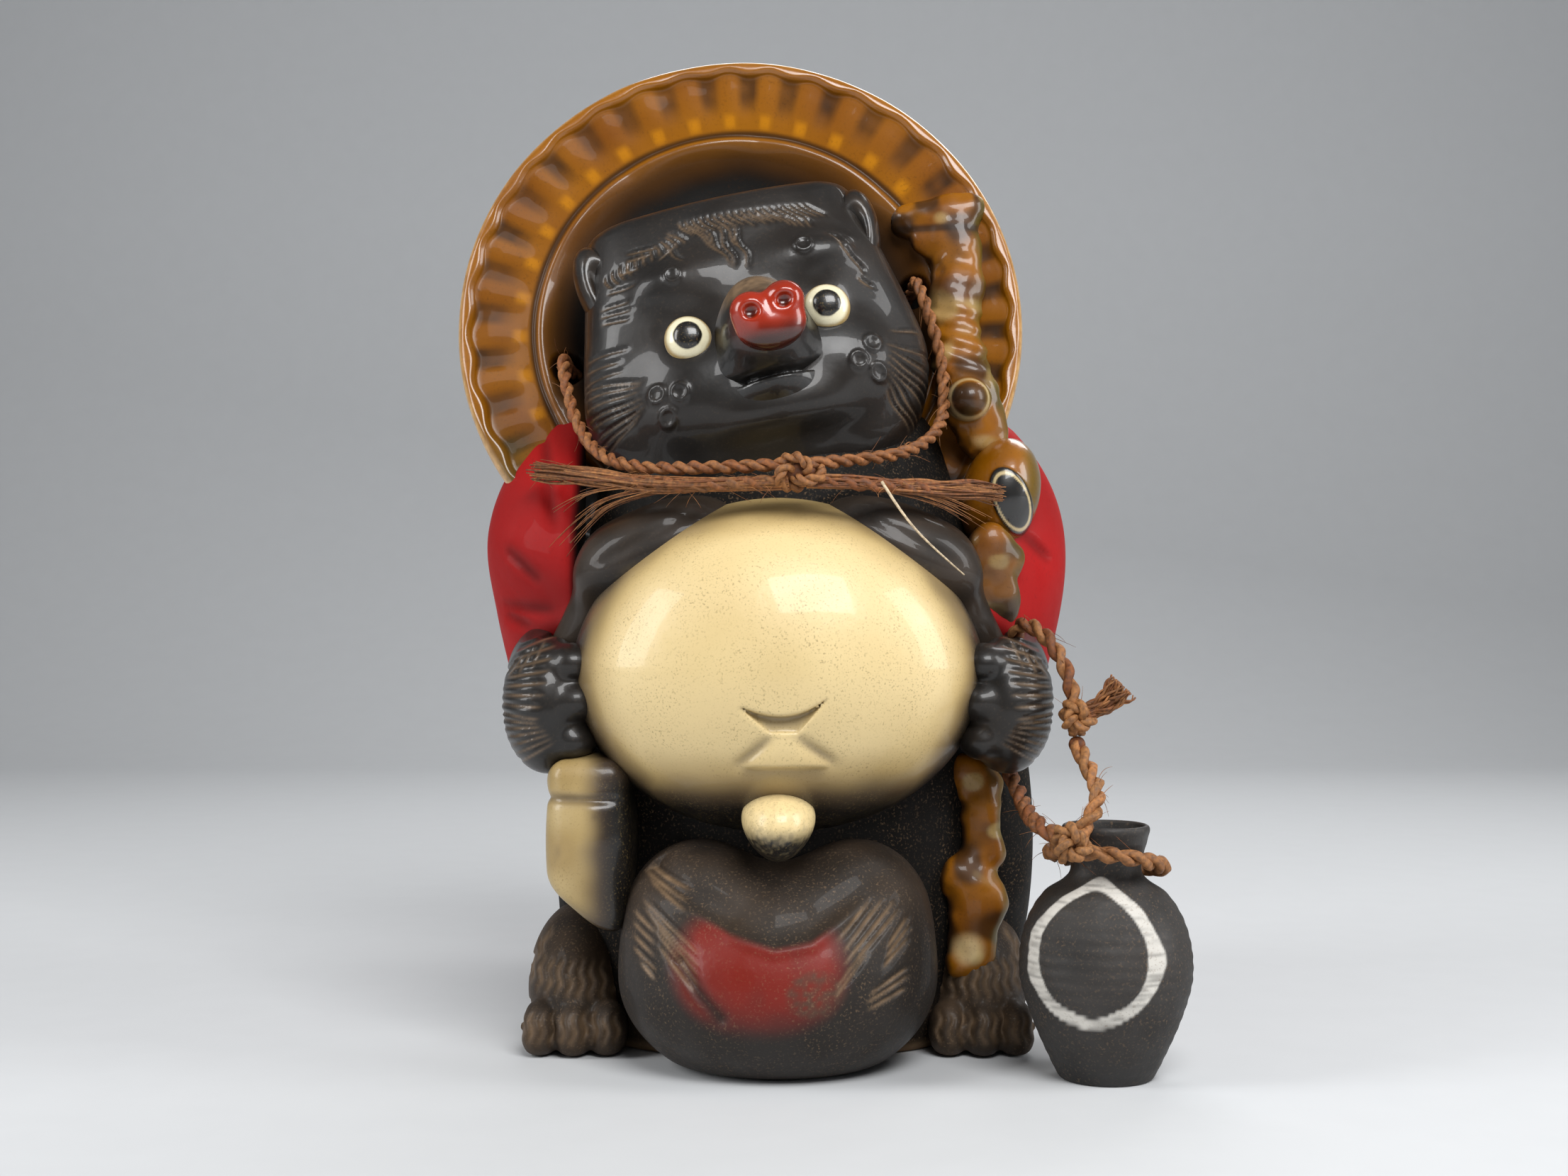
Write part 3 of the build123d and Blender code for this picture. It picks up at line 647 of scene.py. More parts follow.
def wisp(route, count, spread, rng, radius=WISP_RADIUS, shade=None):
    """Loose fibres that leave a cord along a route of their own and part towards its end.
    One with a shade of its own runs the whole route."""
    line, _ = evenly(spline_points(route), WISP_GAP)
    share = np.linspace(0, 1, len(line))
    parts = []
    for _ in range(count):
        angle, reach = rng.uniform(0, ROUND), math.sqrt(rng.uniform(0, 1))
        apart = reach * (0.9 + spread * share ** 1.6)
        own = beside(line, angle + rng.uniform(-1, 1) * share * 2, apart)
        end = max(int(len(line) * rng.uniform(0.6, 1.0)), 5) if shade is None else len(line)
        strand = tube(own[:end], radius * np.linspace(1, 0.45, end), np.ones(FIBRE_SIDES))
        parts.append((*strand, fibre_shade(rng) if shade is None else shade))
    return parts


CHIN_CORD, FLASK_ROPE = 3.8, 4.7
SPACING = 0.5 * COARSE


def hat_points(rows):
    return [tuple(column) for column in from_face(np.array(rows).T).T]


CORD_INNER = hat_points([(-54, 0, 2), (-54, 0, -11), (-46, 0, -19.5), (-20, -1.5, -21), (20, 1, -21),
                         (46, 0, -19.5), (54, 0, -11), (54, 0, 2)])
CORD_EXITS = hat_points([(-54, 0, 9), (54, 0, 9)])
ROUTES = {
    "chin_cord_inner": CORD_INNER,
    "chin_cord_right": [CORD_INNER[0], CORD_EXITS[0], (-63.2, -10.5, 194.5), (-59, -18, 181),
                        (-52, -30, 170.5), (-40, -43, 166), (-23, -52, 165.3), (3, -57, 166.2)],
    "chin_cord_left": [CORD_INNER[-1], CORD_EXITS[1], (43.5, -4.5, 217.5), (48, -7, 203), (49, -11.5, 190),
                       (47.5, -22, 179.5), (40, -36, 172), (28, -47, 168.3), (8, -57, 166.2)],
    "chin_tail_right": [(3, -57.5, 161.8), (-18, -56.5, 160.3), (-36, -50.5, 161), (-52, -40, 163.8),
                        (-63, -30, 165.6), (-70, -22, 166.2)],
    "chin_tail_left": [(8, -57.5, 161.8), (30, -54, 160.6), (46, -45.5, 159.6), (56.5, -35.5, 159.9),
                       (63.5, -28.5, 159.2)],
    "rope_paw_loop": [(66.5, -27, 81.65), (66.7, -27.1, 121), (71, -34, 122.6), (76.2, -41, 118.3),
                      (80.6, -47, 109), (82.5, -49.5, 98)],
    "rope_frayed_end": [(83, -49.5, 97), (89.5, -50, 99.5), (95, -51, 105.5)],
    "rope_drop_front": [(82.5, -49.5, 89.35), (84.6, -54.5, 84), (86.3, -60.5, 79), (85.6, -67.5, 74.6),
                        (81.2, -72.4, 69), (77.7, -73, 65)],
    "rope_drop_back": [(66.5, -27, 79), (68.4, -35.5, 73.5), (69.4, -49, 69.6), (71.4, -63, 67.4),
                       (77.7, -73, 65)],
}


def body_of(name):
    return ROPE if "drop" in name else FIGURE


def width_of(name):
    return CHIN_CORD if name.startswith("chin") else FLASK_ROPE


def rope_end(line, diameter, rng):
    """A twisted cord whose first end is rounded off like a worked eye."""
    ball = np.linspace(-0.98, 0.98, 9)
    along = (line[1] - line[0]) / np.linalg.norm(line[1] - line[0])
    cap = tube(line[0] + ball[:, None] * along * diameter / 2, np.sqrt(1 - ball ** 2) * diameter / 2,
               np.ones(CORE_SIDES))
    return twisted(line, diameter, rng) + [(*cap, FIBRE * 0.8)]


def loose_tail(line, diameter, rng):
    """A cord that is twisted over its first part and comes apart into fibres after it."""
    return twisted(line[:len(line) * 5 // 9], diameter * 1.1, rng) + bundle(line, diameter, 64, rng, 0.8, 0.7)


def frayed_end(line, diameter, rng):
    return twisted(line[:-6], diameter, rng) + bundle(line, diameter, 90, rng, 0.9, 0.91)


KNOT_POINTS, KNOT_TURNS, KNOT_LOBES, KNOT_DEEP = 260, 2, 3, 1.6
KNOT_CORD, KNOT_CORE, CORE_POINTS, CORE_TAPER, KNOT_CORE_SIDES = 0.86, 0.75, 12, 0.35, 10


def knot_mesh(node, diameter, seed, leaving=None):
    """A knot wound from the cord itself, filling the box of its CAD solid."""
    rng = np.random.default_rng(seed)
    low, high = node_box(node, 0)
    middle, half = (low + high) / 2, (high - low) / 2 - diameter * 0.38
    angle = np.linspace(0, ROUND, KNOT_POINTS, endpoint=False)
    ring = 2 + np.cos(KNOT_LOBES * angle)
    line = np.stack((ring * np.cos(KNOT_TURNS * angle), np.sin(KNOT_LOBES * angle) * KNOT_DEEP,
                     ring * np.sin(KNOT_TURNS * angle)), axis=1)
    line = np.concatenate((line, line[:2]))
    line = line / np.abs(line).max(axis=0) * half + middle
    parts = twisted(evenly(line, SPACING)[0], diameter * KNOT_CORD, rng)
    core = half * KNOT_CORE
    reach = np.array((core[0], 0, 0))
    swell = np.sin(np.linspace(CORE_TAPER, math.pi - CORE_TAPER, CORE_POINTS))
    inside = tube(np.linspace(middle - reach, middle + reach, CORE_POINTS), core[2] * swell,
                  np.ones(KNOT_CORE_SIDES))
    # a darker core inside the knot: painted shade in the gaps between its turns
    parts += [(*inside, FIBRE * 0.6)]
    if leaving is not None:
        parts += twisted(evenly(np.array(leaving, dtype=float), SPACING)[0], diameter, rng)
    return fibres("fibre_" + node, [node], ROPE if node == "noose_knot" else FIGURE, parts)


chin_knot = knot_mesh("chin_knot", CHIN_CORD, 3)
slip_knot = knot_mesh("rope_slip_knot", FLASK_ROPE, 5, ((82.5, -49.5, 97.5), (82.5, -49.5, 92.1)))
noose_knot = knot_mesh("noose_knot", FLASK_ROPE, 6)

MAKERS = {"chin_tail_right": loose_tail, "chin_tail_left": loose_tail, "rope_frayed_end": frayed_end,
          "rope_drop_front": rope_end, "rope_drop_back": rope_end}
CORD_SEED, HAIR_SEED, NOOSE_SEED = 20, 60, 71
lines, made = {}, {}
for seed, (name, route) in enumerate(ROUTES.items()):
    lines[name] = evenly(spline_points(route), SPACING)
    parts = MAKERS.get(name, twisted)(lines[name][0], width_of(name), np.random.default_rng(CORD_SEED + seed))
    made[name] = fibres("fibre_" + name, [name], body_of(name), parts)

# Loose hairs on each cord, and wisps of longer fibres: their routes, count and spread
LOOSE = {"chin_cord_right": 26, "chin_cord_left": 26, "chin_tail_right": 30, "chin_tail_left": 22,
         "rope_paw_loop": 20, "rope_drop_front": 16, "rope_drop_back": 18}
WISPS = {
    "chin_tail_right": (
        ([(-24, -55, 160.5), (-44, -47.5, 158.5), (-56, -40, 150.5), (-64, -37, 141.5)], 16, 3.2),
        ([(-36, -51, 161), (-50, -43, 160.5), (-60, -36, 156), (-66, -33, 152)], 10, 2.5),
        ([(-40, -48.5, 162), (-56, -38, 165), (-66, -28, 167.5), (-72, -22, 167)], 14, 2.0)),
    "chin_tail_left": (
        ([(22, -56, 161), (42, -49, 158), (54, -40, 153), (62, -34, 148.5)], 14, 2.6),
        ([(34, -53, 161), (48, -44, 160.5), (58, -36, 160.5), (66, -29.5, 160)], 12, 1.8)),
}
THREAD_ROUTE = [(28, -57, 161), (33, -60, 152), (41, -60.5, 143), (50.5, -55, 135.4)]
BARE_POINTS = 24    # of a swinging rope, next to the knot that stays behind
for seed, (name, count) in enumerate(LOOSE.items()):
    rng = np.random.default_rng(HAIR_SEED + seed)
    body = body_of(name)
    loose = hairs_along(lines[name][0][BARE_POINTS if body == ROPE else 0:], CHIN_CORD, count, rng)
    for route, strands, spread in WISPS.get(name, ()):
        loose += wisp(route, strands, spread, rng)
    if name == "chin_tail_left":
        loose += wisp(THREAD_ROUTE, 1, 0, rng, THREAD_RADIUS, THREAD)
    fibres("hairs_" + name, [], body, loose)

FLASK_AT = np.array((89.0, -59.0, 0.0))
NOOSE_LEVEL, NOOSE_RADIUS, NOOSE_HAIRS = 59.0, 15.0, 22
NOOSE_TILT, NOOSE_TOWARDS = math.radians(14), math.radians(231)
angle = np.linspace(0, ROUND, 200)
noose_line = NOOSE_RADIUS * np.stack((np.cos(angle), np.sin(angle),
                                      np.cos(angle - NOOSE_TOWARDS) * math.sin(NOOSE_TILT)), axis=1)
noose_line += FLASK_AT + (0, 0, NOOSE_LEVEL)
rng = np.random.default_rng(NOOSE_SEED)
noose = fibres("fibre_noose", ["noose"], ROPE, twisted(noose_line, FLASK_ROPE, rng)
               + hairs_along(noose_line, FLASK_ROPE, NOOSE_HAIRS, rng))

# Each cord's far end, how it lies, and the pieces on it apart from its hairs
CORDS = {
    "chin_cord_inner": ("object", "taut"),
    "chin_cord_right": ("knot", "hanging", chin_knot),
    "chin_cord_left": ("knot", "hanging"),
    "chin_tail_right": ("bare", "loose"),
    "chin_tail_left": ("bare", "loose"),
    "rope_paw_loop": ("knot", "hanging", slip_knot, made["rope_frayed_end"]),
    "rope_drop_front": ("knot", "hanging", noose, noose_knot),
    "rope_drop_back": ("knot", "hanging"),
}
for name, (far_end, lay, *others) in CORDS.items():
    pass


# Hat: a turned shell with a scalloped band, a plain rim and two cord holes

SCALLOPS, HAT_ROWS, HAT_SIDES = 36, 170, 432
HAT_PROFILE = ((0, -7), (30, -7), (46, -6.4), (54, -3.8), (59, -0.9), (61, -0.5), (62.8, -1.9),
               (64.6, -1.3), (69, 0.2), (75, 1.5), (79.8, 2.3), (81.2, 3.6), (82.4, 4.4), (84, 4.0),
               (85.1, 2.3), (85.5, -1), (84.2, -4.8), (78, -12.5), (68, -22.5), (55, -33.2), (40, -42.5),
               (27, -48.4), (20, -51.2), (13, -53.9), (6, -55.6), (0, -56))
FRONT_POINTS = 15
HOLE_AT, HOLE_RADIUS = 54.0, 4.6
TURNED_LEAST = 0.02    # radius left open at a turned form's axis


def smooth_line(points, count):
    """Evenly numbered points on a rounded line through the given ones."""
    points = np.array(points, dtype=float)
    padded = np.concatenate((2 * points[:1] - points[1:2], points, 2 * points[-1:] - points[-2:-1]))
    places = np.linspace(0, len(points) - 1, count)
    start = np.minimum(places.astype(int), len(points) - 2)
    t = (places - start)[:, None]
    a, b, c, d = (padded[start + shift] for shift in range(4))
    return 0.5 * (2 * b + (c - a) * t + (2 * a - 5 * b + 4 * c - d) * t ** 2
                  + (3 * b - a - 3 * c + d) * t ** 3)


def turned(points, outer, rows, sides):
    """A rounded profile of radius and height turned about its axis: verts, faces, each vert's angle,
    and whether it comes before that point of the profile."""
    rows, sides = int(rows / COARSE), int(sides / COARSE)
    radius, height = smooth_line(points, rows).T
    radius = np.maximum(radius, TURNED_LEAST)[:, None]
    angle = np.arange(sides) * ROUND / sides
    verts = np.stack((radius * np.cos(angle), radius * np.sin(angle), np.tile(height[:, None], sides)))
    verts = verts.reshape(3, -1)
    faces = [(a, d, c, b) for a, b, c, d in rings(rows, sides)]
    before = np.repeat(np.arange(rows) < rows * outer / (len(points) - 1), sides)
    return verts, faces, np.arctan2(verts[1], verts[0]), before


def hat_mesh():
    verts, faces, angle, front = turned(HAT_PROFILE, FRONT_POINTS, HAT_ROWS, HAT_SIDES)
    radius = np.hypot(verts[0], verts[1])
    turn = SCALLOPS * angle + 0.5 * np.sin(5 * angle) + 0.4 * np.sin(3 * angle + 1)
    wave = np.cos(turn)
    uneven = 0.6 + 0.8 * noise(np.stack((40 * np.cos(angle), 40 * np.sin(angle), 0 * angle)), 9, 12)
    band = ramp(radius, 64, 74) * ramp(radius, 82, 79) * front
    verts[2] += 0.38 * wave * band * uneven
    shove = 0.55 * wave * uneven * ramp(radius, 77, 81) * ramp(radius, 84.6, 82) * front
    verts[0] += shove * np.cos(angle)
    verts[1] += shove * np.sin(angle)
    ring = ramp(radius, 57, 60) * ramp(radius, 63.5, 61.5) * front
    verts[2] += 0.8 * ring * (np.abs(np.sin(4.5 * angle + 0.6)) - 0.6)
    lumps = noise(verts, 22, 4) + 0.5 * noise(verts, 9, 5)
    verts[2] += (lumps - 0.75) * np.where(front, 0.7, 1.4)
    hole = np.minimum(np.hypot(verts[0] - HOLE_AT, verts[1]), np.hypot(verts[0] + HOLE_AT, verts[1]))
    verts[2] -= 9 * ramp(hole, HOLE_RADIUS + 0.6, HOLE_RADIUS - 0.9) * front

    x, y, z = verts
    # painted shade in the dents between the scallops
    dent_shade = ramp(radius, 67, 75) * ramp(radius, 81.8, 79.6) * ramp(wave, 0.4, -0.8) * uneven
    gleam = ramp(np.abs(radius - 66.8), 3.2, 0.6) * ramp(wave, 0.2, 0.95)
    # painted shade in the groove inside the scalloped band
    groove = ramp(np.abs(radius - 63.0), 1.9, 0.3)
    inner = 0.45 * ramp(radius, 62, 60.5) + 0.4 * ramp(radius, 60.5, 55)
    # painted shade: darker olive over the lower left of the hat's front
    lower_left_shade = ramp(-x - 0.5 * y, 70, 92) * ramp(y, 0, -40)
    worn = ramp(radius, 83.6, 85.2) * (0.35 + 0.9 * noise(verts, 1.4, 8)) * ramp(z, -6, -1)
    placed = from_face(verts)
    matt = 0.95 * ramp(radius, 63, 54) + 0.9 * ramp(radius, 60, 64) * ramp(radius, 81.5, 79)
    paint = painted(
        verts, OCHRE,
        (AMBER, 0.3 + 0.7 * (noise(verts, 14, 6) - 0.4) + 0.35 * band),
        (UMBER, 0.78 * front * dent_shade * (0.6 + 0.6 * noise(verts, 3, 7))),
        (ORANGE, 0.8 * front * gleam),
        (UMBER * 0.6, 0.85 * groove * front),
        (UMBER * 1.5, inner * front),
        (BLACK, ramp(radius + 3 * (noise(verts, 12, 3) - 0.5), 59, 48) * front),
        (OLIVE * 0.6, 0.8 * lower_left_shade * front),
        (WORN_TAN, worn),
        (UMBER, 0.5 * ramp(noise(verts, 30, 9), 0.5, 0.8) * ~front),
        # painted shade inside the two cord holes
        (BLACK, ramp(hole, HOLE_RADIUS + 0.8, HOLE_RADIUS - 0.6) * front),
        # painted shade on the rim's lower left tip, where it passes behind the cape's shoulder
        (BLACK, ramp(placed[2], 172, 164) * ramp(placed[0], -80, -74)),
        gloss=1 - matt * front)
    return placed, faces, paint


piece("glazed_hat", *hat_mesh(), "ochre_glaze", ["hat"], FIGURE)


# Head, in the hat's frame: across, up, out

HEAD_TOP, HEAD_FOOT = 30.5, -57.0
HEAD_WIDTHS = ((-66, 25), (-57, 33), (-48, 41.5), (-36, 48.8), (-24, 51.5), (-12, 49.6), (0, 46.8),
               (14, 43.8), (40, 39))
HEAD_SIDE = smooth_line(HEAD_WIDTHS, 90).T
EYES = ((-17.6, -14.4), (22.7, -13.9))
EYE_RADIUS, PUPIL_RADIUS, EYE_OUT = 6.3, 3.9, 42.5
WHISKERS = ((-29.7, -28.2), (-23.2, -29.7), (-28.1, -35.4), (28.0, -31.6), (33.1, -27.0), (32.9, -35.4),
            (-17.9, 4.6), (20.5, 5.6))
WHISKER_RING, WHISKER_WIDTH = 2.2, 0.7
FOREHEAD_FUR = ((-15.2, 20.1, -12.2, 15.4), (-10.5, 21.2, -3.8, 11.1), (-8.3, 21.2, -2.0, 7.6),
                (-6.2, 20.7, -0.6, 4.1), (-1.8, 20.3, 0.6, 3.0), (2.3, 18.8, 4.5, 2.1),
                (-0.4, 20.0, 3.2, 9.5), (-18.0, 17.5, -13.6, 8.7), (-14.3, 15.9, -19.3, 11.6),
                (6.3, 19.9, 8.2, 15.5), (8.9, 20.1, 12.0, 15.4), (10.7, 19.7, 14.3, 15.7),
                (13.0, 19.8, 16.5, 15.6), (15.0, 19.1, 19.1, 14.1), (17.1, 18.2, 21.2, 13.3),
                (19.8, 17.2, 23.3, 12.8), (22.7, 16.5, 25.4, 12.3))
SIDE_FUR = ((29.1, 8.7, 31.8, 4.5), (30.8, 6.3, 33.4, 1.8), (32.7, 3.5, 35.5, -1.9), (33.9, 0.8, 36.4, -4.4),
            (34.8, -4.9, 38.3, -8.8), (-28.7, 17.3, -19.8, 16.4), (-29.9, 15.1, -21.0, 14.7),
            (-32.1, 12.0, -25.5, 11.3), (-37.3, 7.2, -28.9, 6.1), (-38.9, 3.2, -30.5, 2.1),
            (-39.7, 1.0, -31.4, -0.5), (-40.6, -1.2, -32.7, -3.0), (-46.8, -9.2, -34.9, -11.5),
            (-48.1, -12.0, -37.0, -14.2), (-49.1, -14.9, -36.8, -17.0))
CHEEK_FUR = ((-49.6, -16.5, -32.2, -22.5), (-50.2, -19.1, -32.7, -23.2), (-50.4, -21.8, -33.4, -24.6),
             (-50.6, -24.9, -33.5, -26.9), (-50.0, -27.4, -33.8, -28.4), (-49.0, -31.1, -33.7, -29.6),
             (-48.8, -33.9, -34.7, -30.9), (-48.6, -36.6, -35.7, -31.9), (40.3, -22.3, 48.9, -21.1),
             (37.6, -27.2, 51.8, -27.7), (37.6, -28.8, 50.6, -32.6), (37.2, -30.4, 50.1, -36.4),
             (37.1, -32.2, 49.0, -39.3), (37.0, -34.2, 47.9, -42.2), (36.3, -35.6, 45.4, -46.3),
             (35.1, -37.3, 42.5, -47.2), (34.7, -39.1, 40.0, -48.2))
HAIRLINE = fan((-12, 22.8), (25, 21), 19, 6.5, (-64, -50)) + fan((-36, 13), (-14, 19.5), 11, 5, (-80, -66))
HEAD_FUR = FOREHEAD_FUR + SIDE_FUR + CHEEK_FUR + HAIRLINE
HEAD_FUR_WIDTH, FACE_MIDDLE = 0.62, 2.5


def waved(across, up):
    return across + 0.6 * np.sin(up * 0.7)


def head_form(local):
    u, v, w = local
    half = np.interp(v, *HEAD_SIDE)
    dome = 43 - 0.0066 * u * u - 0.0062 * (v + 10) ** 2
    solid = meet(np.abs(u) - half, (w - dome) * 0.92, 12)
    solid = meet(solid, v - HEAD_TOP - 0.0012 * u * u, 6)
    solid = meet(meet(solid, HEAD_FOOT - v, 10), -w - 3, 4)
    for side, (eye_u, eye_v) in zip((-1, 1), EYES):
        solid = cut(solid, ellipsoid(local, (eye_u, eye_v + 1, 51), (25, 23, 22)), 6)
        solid = with_lumps(solid, local, (
            ((FACE_MIDDLE + side * 19.5, -29.5, 31.5), (33, 25, 22), 10),
            ((FACE_MIDDLE + side * 18, 3.5, 36), (26, 10, 12), 7)))
    solid = with_lumps(solid, local, (((4, -38.5, 36.5), (30, 13, 15), 8),))

    def detail(near):
        u, v, w = near
        deep = strokes(waved(u, v), v, HEAD_FUR, HEAD_FUR_WIDTH)
        raised = sum(np.exp(-((np.hypot(u - a, v - b) - WHISKER_RING) / WHISKER_WIDTH) ** 2)
                     for a, b in WHISKERS)
        return np.where(w > 8, 0.75 * deep - 0.75 * raised, 0)
    return near_only(solid, local, FUR_REACH, detail)


def black_paint(lines, flat, width, share):
    """Black glaze with tan beside one edge of each stroke, partly glaze breaking tan and partly painted
    highlight; flat gives a point's two drawn coordinates.
    """
    def paint(points, facing):
        across, up = flat(points)
        # the tan beside each stroke: partly glaze breaking on its edge, partly painted highlight
        worn = strokes(across + 1.1 * width, up + 0.4 * width, lines, width * 0.55)
        return painted(points, BLACK, (SOOT, noise(points, 12, 3)),
                       (TAN, share * np.clip(worn, 0, 1) * (0.4 + noise(points, 4, 2))), gloss=0.75)
    return paint


def face_flat(points):
    across, up, out = to_face(points)
    return waved(across, up), up


sculpt("head", on_face(head_form), black_paint(HEAD_FUR, face_flat, HEAD_FUR_WIDTH, 0.35), "black_glaze",
       step=0.66, box=face_box((-56, -62, -6), (56, 36, 50)))

# Ears: folded flaps at the head's corners, hollowed towards the front

EARS = {"right_ear": ((-38.2, 11.5, 20), 12), "left_ear": ((38.0, 11.5, 20), -10)}
EAR_SIZE, HOLLOW_SIZE, EAR_ROOM = (14.5, 31, 20), (9, 23, 11), np.array((14, 20, 13))


def ear_paint(points, facing):
    return painted(points, BLACK, (BARK, 0.7 * ramp(to_face(points)[2], 25, 29) * noise(points, 3, 5)))


for name, (place, lean) in EARS.items():
    def ear_form(local, place=place, axes=leaning(0, 1, lean)):
        hollow = (place[0] * 0.97, place[1] - 1, place[2] + 11)
        return cut(ellipsoid(local, place, EAR_SIZE, axes), ellipsoid(local, hollow, HOLLOW_SIZE, axes), 2)

    sculpt(name, on_face(ear_form), ear_paint, "black_glaze", step=0.7,
           box=face_box(place - EAR_ROOM, place + EAR_ROOM))

# Snout with its mouth, and the upturned nose

MOUTH = ((-12.5, -30.0), (-6, -31.6), (1, -32.2), (10, -31.9), (19, -29.8))
MUZZLE, MUZZLE_SIZE = (4.0, -19.5, 40), (27, 27, 42)
MUZZLE_LUMPS = (((3.6, -8, 40), (15, 14, 13), 9), ((3.4, -26.5, 37), (33, 12, 20), 7),
                ((3.6, -21, 34), (40, 32, 11), 8), ((3.6, -33.5, 39.5), (21, 9, 17), 5),
                ((3.6, -38, 33), (30, 14, 14), 9))


def snout_form(local):
    muzzle = with_lumps(ellipsoid(local, MUZZLE, MUZZLE_SIZE), local, MUZZLE_LUMPS)
    return muzzle + 1.9 * drawn(local[0], local[1], MOUTH, 0.9) * (local[2] > 30)


def snout_paint(points, facing):
    u, v, w = to_face(points)
    return painted(points, BLACK, (RUST * 0.6, 0.9 * ramp(w, 50, 60) * ramp(v, -29, -20)),
                   (TAN, 0.75 * ramp(v, -13, -6) * (0.4 + 0.6 * noise(points, 1.5, 6))))


sculpt("snout", on_face(snout_form), snout_paint, "black_glaze", step=0.6,
       box=face_box((-22, -50, 16), (30, 4, 66)))

NOSTRILS = ((0.2, -16.8), (9.8, -15.6))


def nose_form(local):
    form = with_lumps(ellipsoid(local, (5, -20.5, 57.5), (20, 16, 12)), local,
                      [((a, b, 59.5), (11.5, 10.5, 10.5), 2) for a, b in NOSTRILS])
    for a, b in NOSTRILS:
        form = cut(form, ellipsoid(local, (a - 0.2, b - 1.6, 65), (5.8, 4.6, 6)), 1.0)
    return cut(form, capsule(local, (5.1, -21, 66.5), (5.0, -10, 65), 1.5), 2)


def nose_paint(points, facing):
    u, v, w = to_face(points)
    dark = ramp(v + 2 * (noise(points, 4, 2) - 0.5), -20.5, -27)
    for a, b in NOSTRILS:
        dark = np.maximum(dark, 0.9 * ramp(np.hypot(u - a + 0.2, v - b + 1.6), 2.3, 0.9))
    return painted(points, NOSE_RED, (RUST * 0.8, 0.5 * noise(points, 5, 4)), (RUST * 0.25, dark))


sculpt("nose", on_face(nose_form), nose_paint, "nose_glaze", step=0.5,
       box=face_box((-9, -32, 48), (19, -8, 68)))

# Eyes: glossy cream buttons with a domed black pupil

for name, (eye_u, eye_v) in zip(("right_eye", "left_eye"), EYES):
    def eye_form(local, eye_u=eye_u, eye_v=eye_v):
        across, pupil = 2 * EYE_RADIUS + 1, 2 * PUPIL_RADIUS
        button = ellipsoid(local, (eye_u, eye_v, EYE_OUT - 2.5), (across, across, 10))
        return join(button, ellipsoid(local, (eye_u, eye_v, EYE_OUT + 1.3), (pupil, pupil, 3.4)), 0.5)

    def eye_paint(points, facing, eye_u=eye_u, eye_v=eye_v):
        u, v, w = to_face(points)
        out = np.hypot(u - eye_u, v - eye_v) + 0.3 * (noise(points, 1.5, 3) - 0.5)
        return painted(points, EYE_WHITE, (SAND, ramp(out, EYE_RADIUS - 0.8, EYE_RADIUS + 0.2)),
                       (BLACK, ramp(out, PUPIL_RADIUS + 0.25, PUPIL_RADIUS - 0.05)))

    sculpt(name, on_face(eye_form), eye_paint, "eye_glaze", step=0.3,
           box=face_box((eye_u - 8, eye_v - 8, EYE_OUT - 9), (eye_u + 8, eye_v + 8, EYE_OUT + 6)))


# Trunk, with the coat's dark side panel on its left and combed fur on its back

TRUNK_SIZE, TRUNK_MIDDLE = (136, 114, 190), 12
TRUNK_FIT = np.polyfit((0, 0.14, 0.38, 0.58, 0.79, 1), (0.92, 0.97, 1, 0.99, 0.88, 0.62), 4)
PANEL, PANEL_SIZE = (62, 4, 58), (29, 46, 100)
BACK_FUR = fan_rows(5, 84, 15, 60, (9, 9), 15, 9, (-100, -80))


def trunk_form(points):
    x, y, z = points
    share = np.polyval(TRUNK_FIT, np.clip(z / TRUNK_SIZE[2], 0, 1))
    wide, deep = share * TRUNK_SIZE[0] / 2, share * TRUNK_SIZE[1] / 2
    side = (np.hypot(x / wide, (y - TRUNK_MIDDLE) / deep) - 1) * np.minimum(wide, deep)
    solid = with_lumps(meet(side, z - TRUNK_SIZE[2], 12), points, ((PANEL, PANEL_SIZE, 8),))
    return combed(meet(solid, -z, 3), points, BACK_FUR, 0.7, 0.9, lambda y: y > 30)


def trunk_paint(points, facing):
    x, y, z = points
    worn = strokes(x, z, BACK_FUR, 1.3) * ramp(y, 30, 45)
    return painted(points, BLACK, (BARK, 0.45 * noise(points, 18, 2) + 0.35 * ramp(y, 20, 60)),
                   (TAN, 0.4 * worn * noise(points, 4, 3)),
                   # painted shade on the neck, under the chin
                   (BLACK, ramp(z, 110, 130) * ramp(y, 20, 0)),
                   (BLACK, ramp(y, 30, 10) * ramp(z, 8, 20)),
                   (TAN, 0.7 * ramp(z, 4, 0.5)), gloss=1 - 0.9 * ramp(y, 45, 5))


sculpt("trunk", trunk_form, trunk_paint, "brown_glaze", step=1.1, spare=14)

# Belly: a taut egg, with the navel's notch above a small ledge, sprayed dark towards its edges

BELLY_CENTRE, BELLY_SIZE = (0, -34, 110.5), (117, 84, 95)
NAVEL_X, NOTCH = 1.5, ((-10.4, 101.2), (-2.2, 94), (5.5, 94), (13.2, 103.2))
LEDGE = ((-11.3, 84.8), (-1.6, 93), (4.9, 93), (15.6, 85.6))
LEDGE_SIDES = (LEDGE[1] + LEDGE[0], LEDGE[2] + LEDGE[3])
LEDGE_FOOT, NAVEL_FRONT = LEDGE[0][1], -50


def navel_levels(x, z):
    """Heights of the notch's upper edge, of its foot and of the ledge's slopes above that place,
    and how high between the first two a point lies, from 0 to 1."""
    brow = 98.3 + np.where(x < 1, 0.0215, 0.032) * (x - 1) ** 2
    foot = np.interp(x, *np.array(NOTCH).T)
    rise = np.clip((z - foot) / np.maximum(brow - foot, 0.5), 0, 1)
    return brow, foot, np.interp(x, *np.array(LEDGE).T), rise


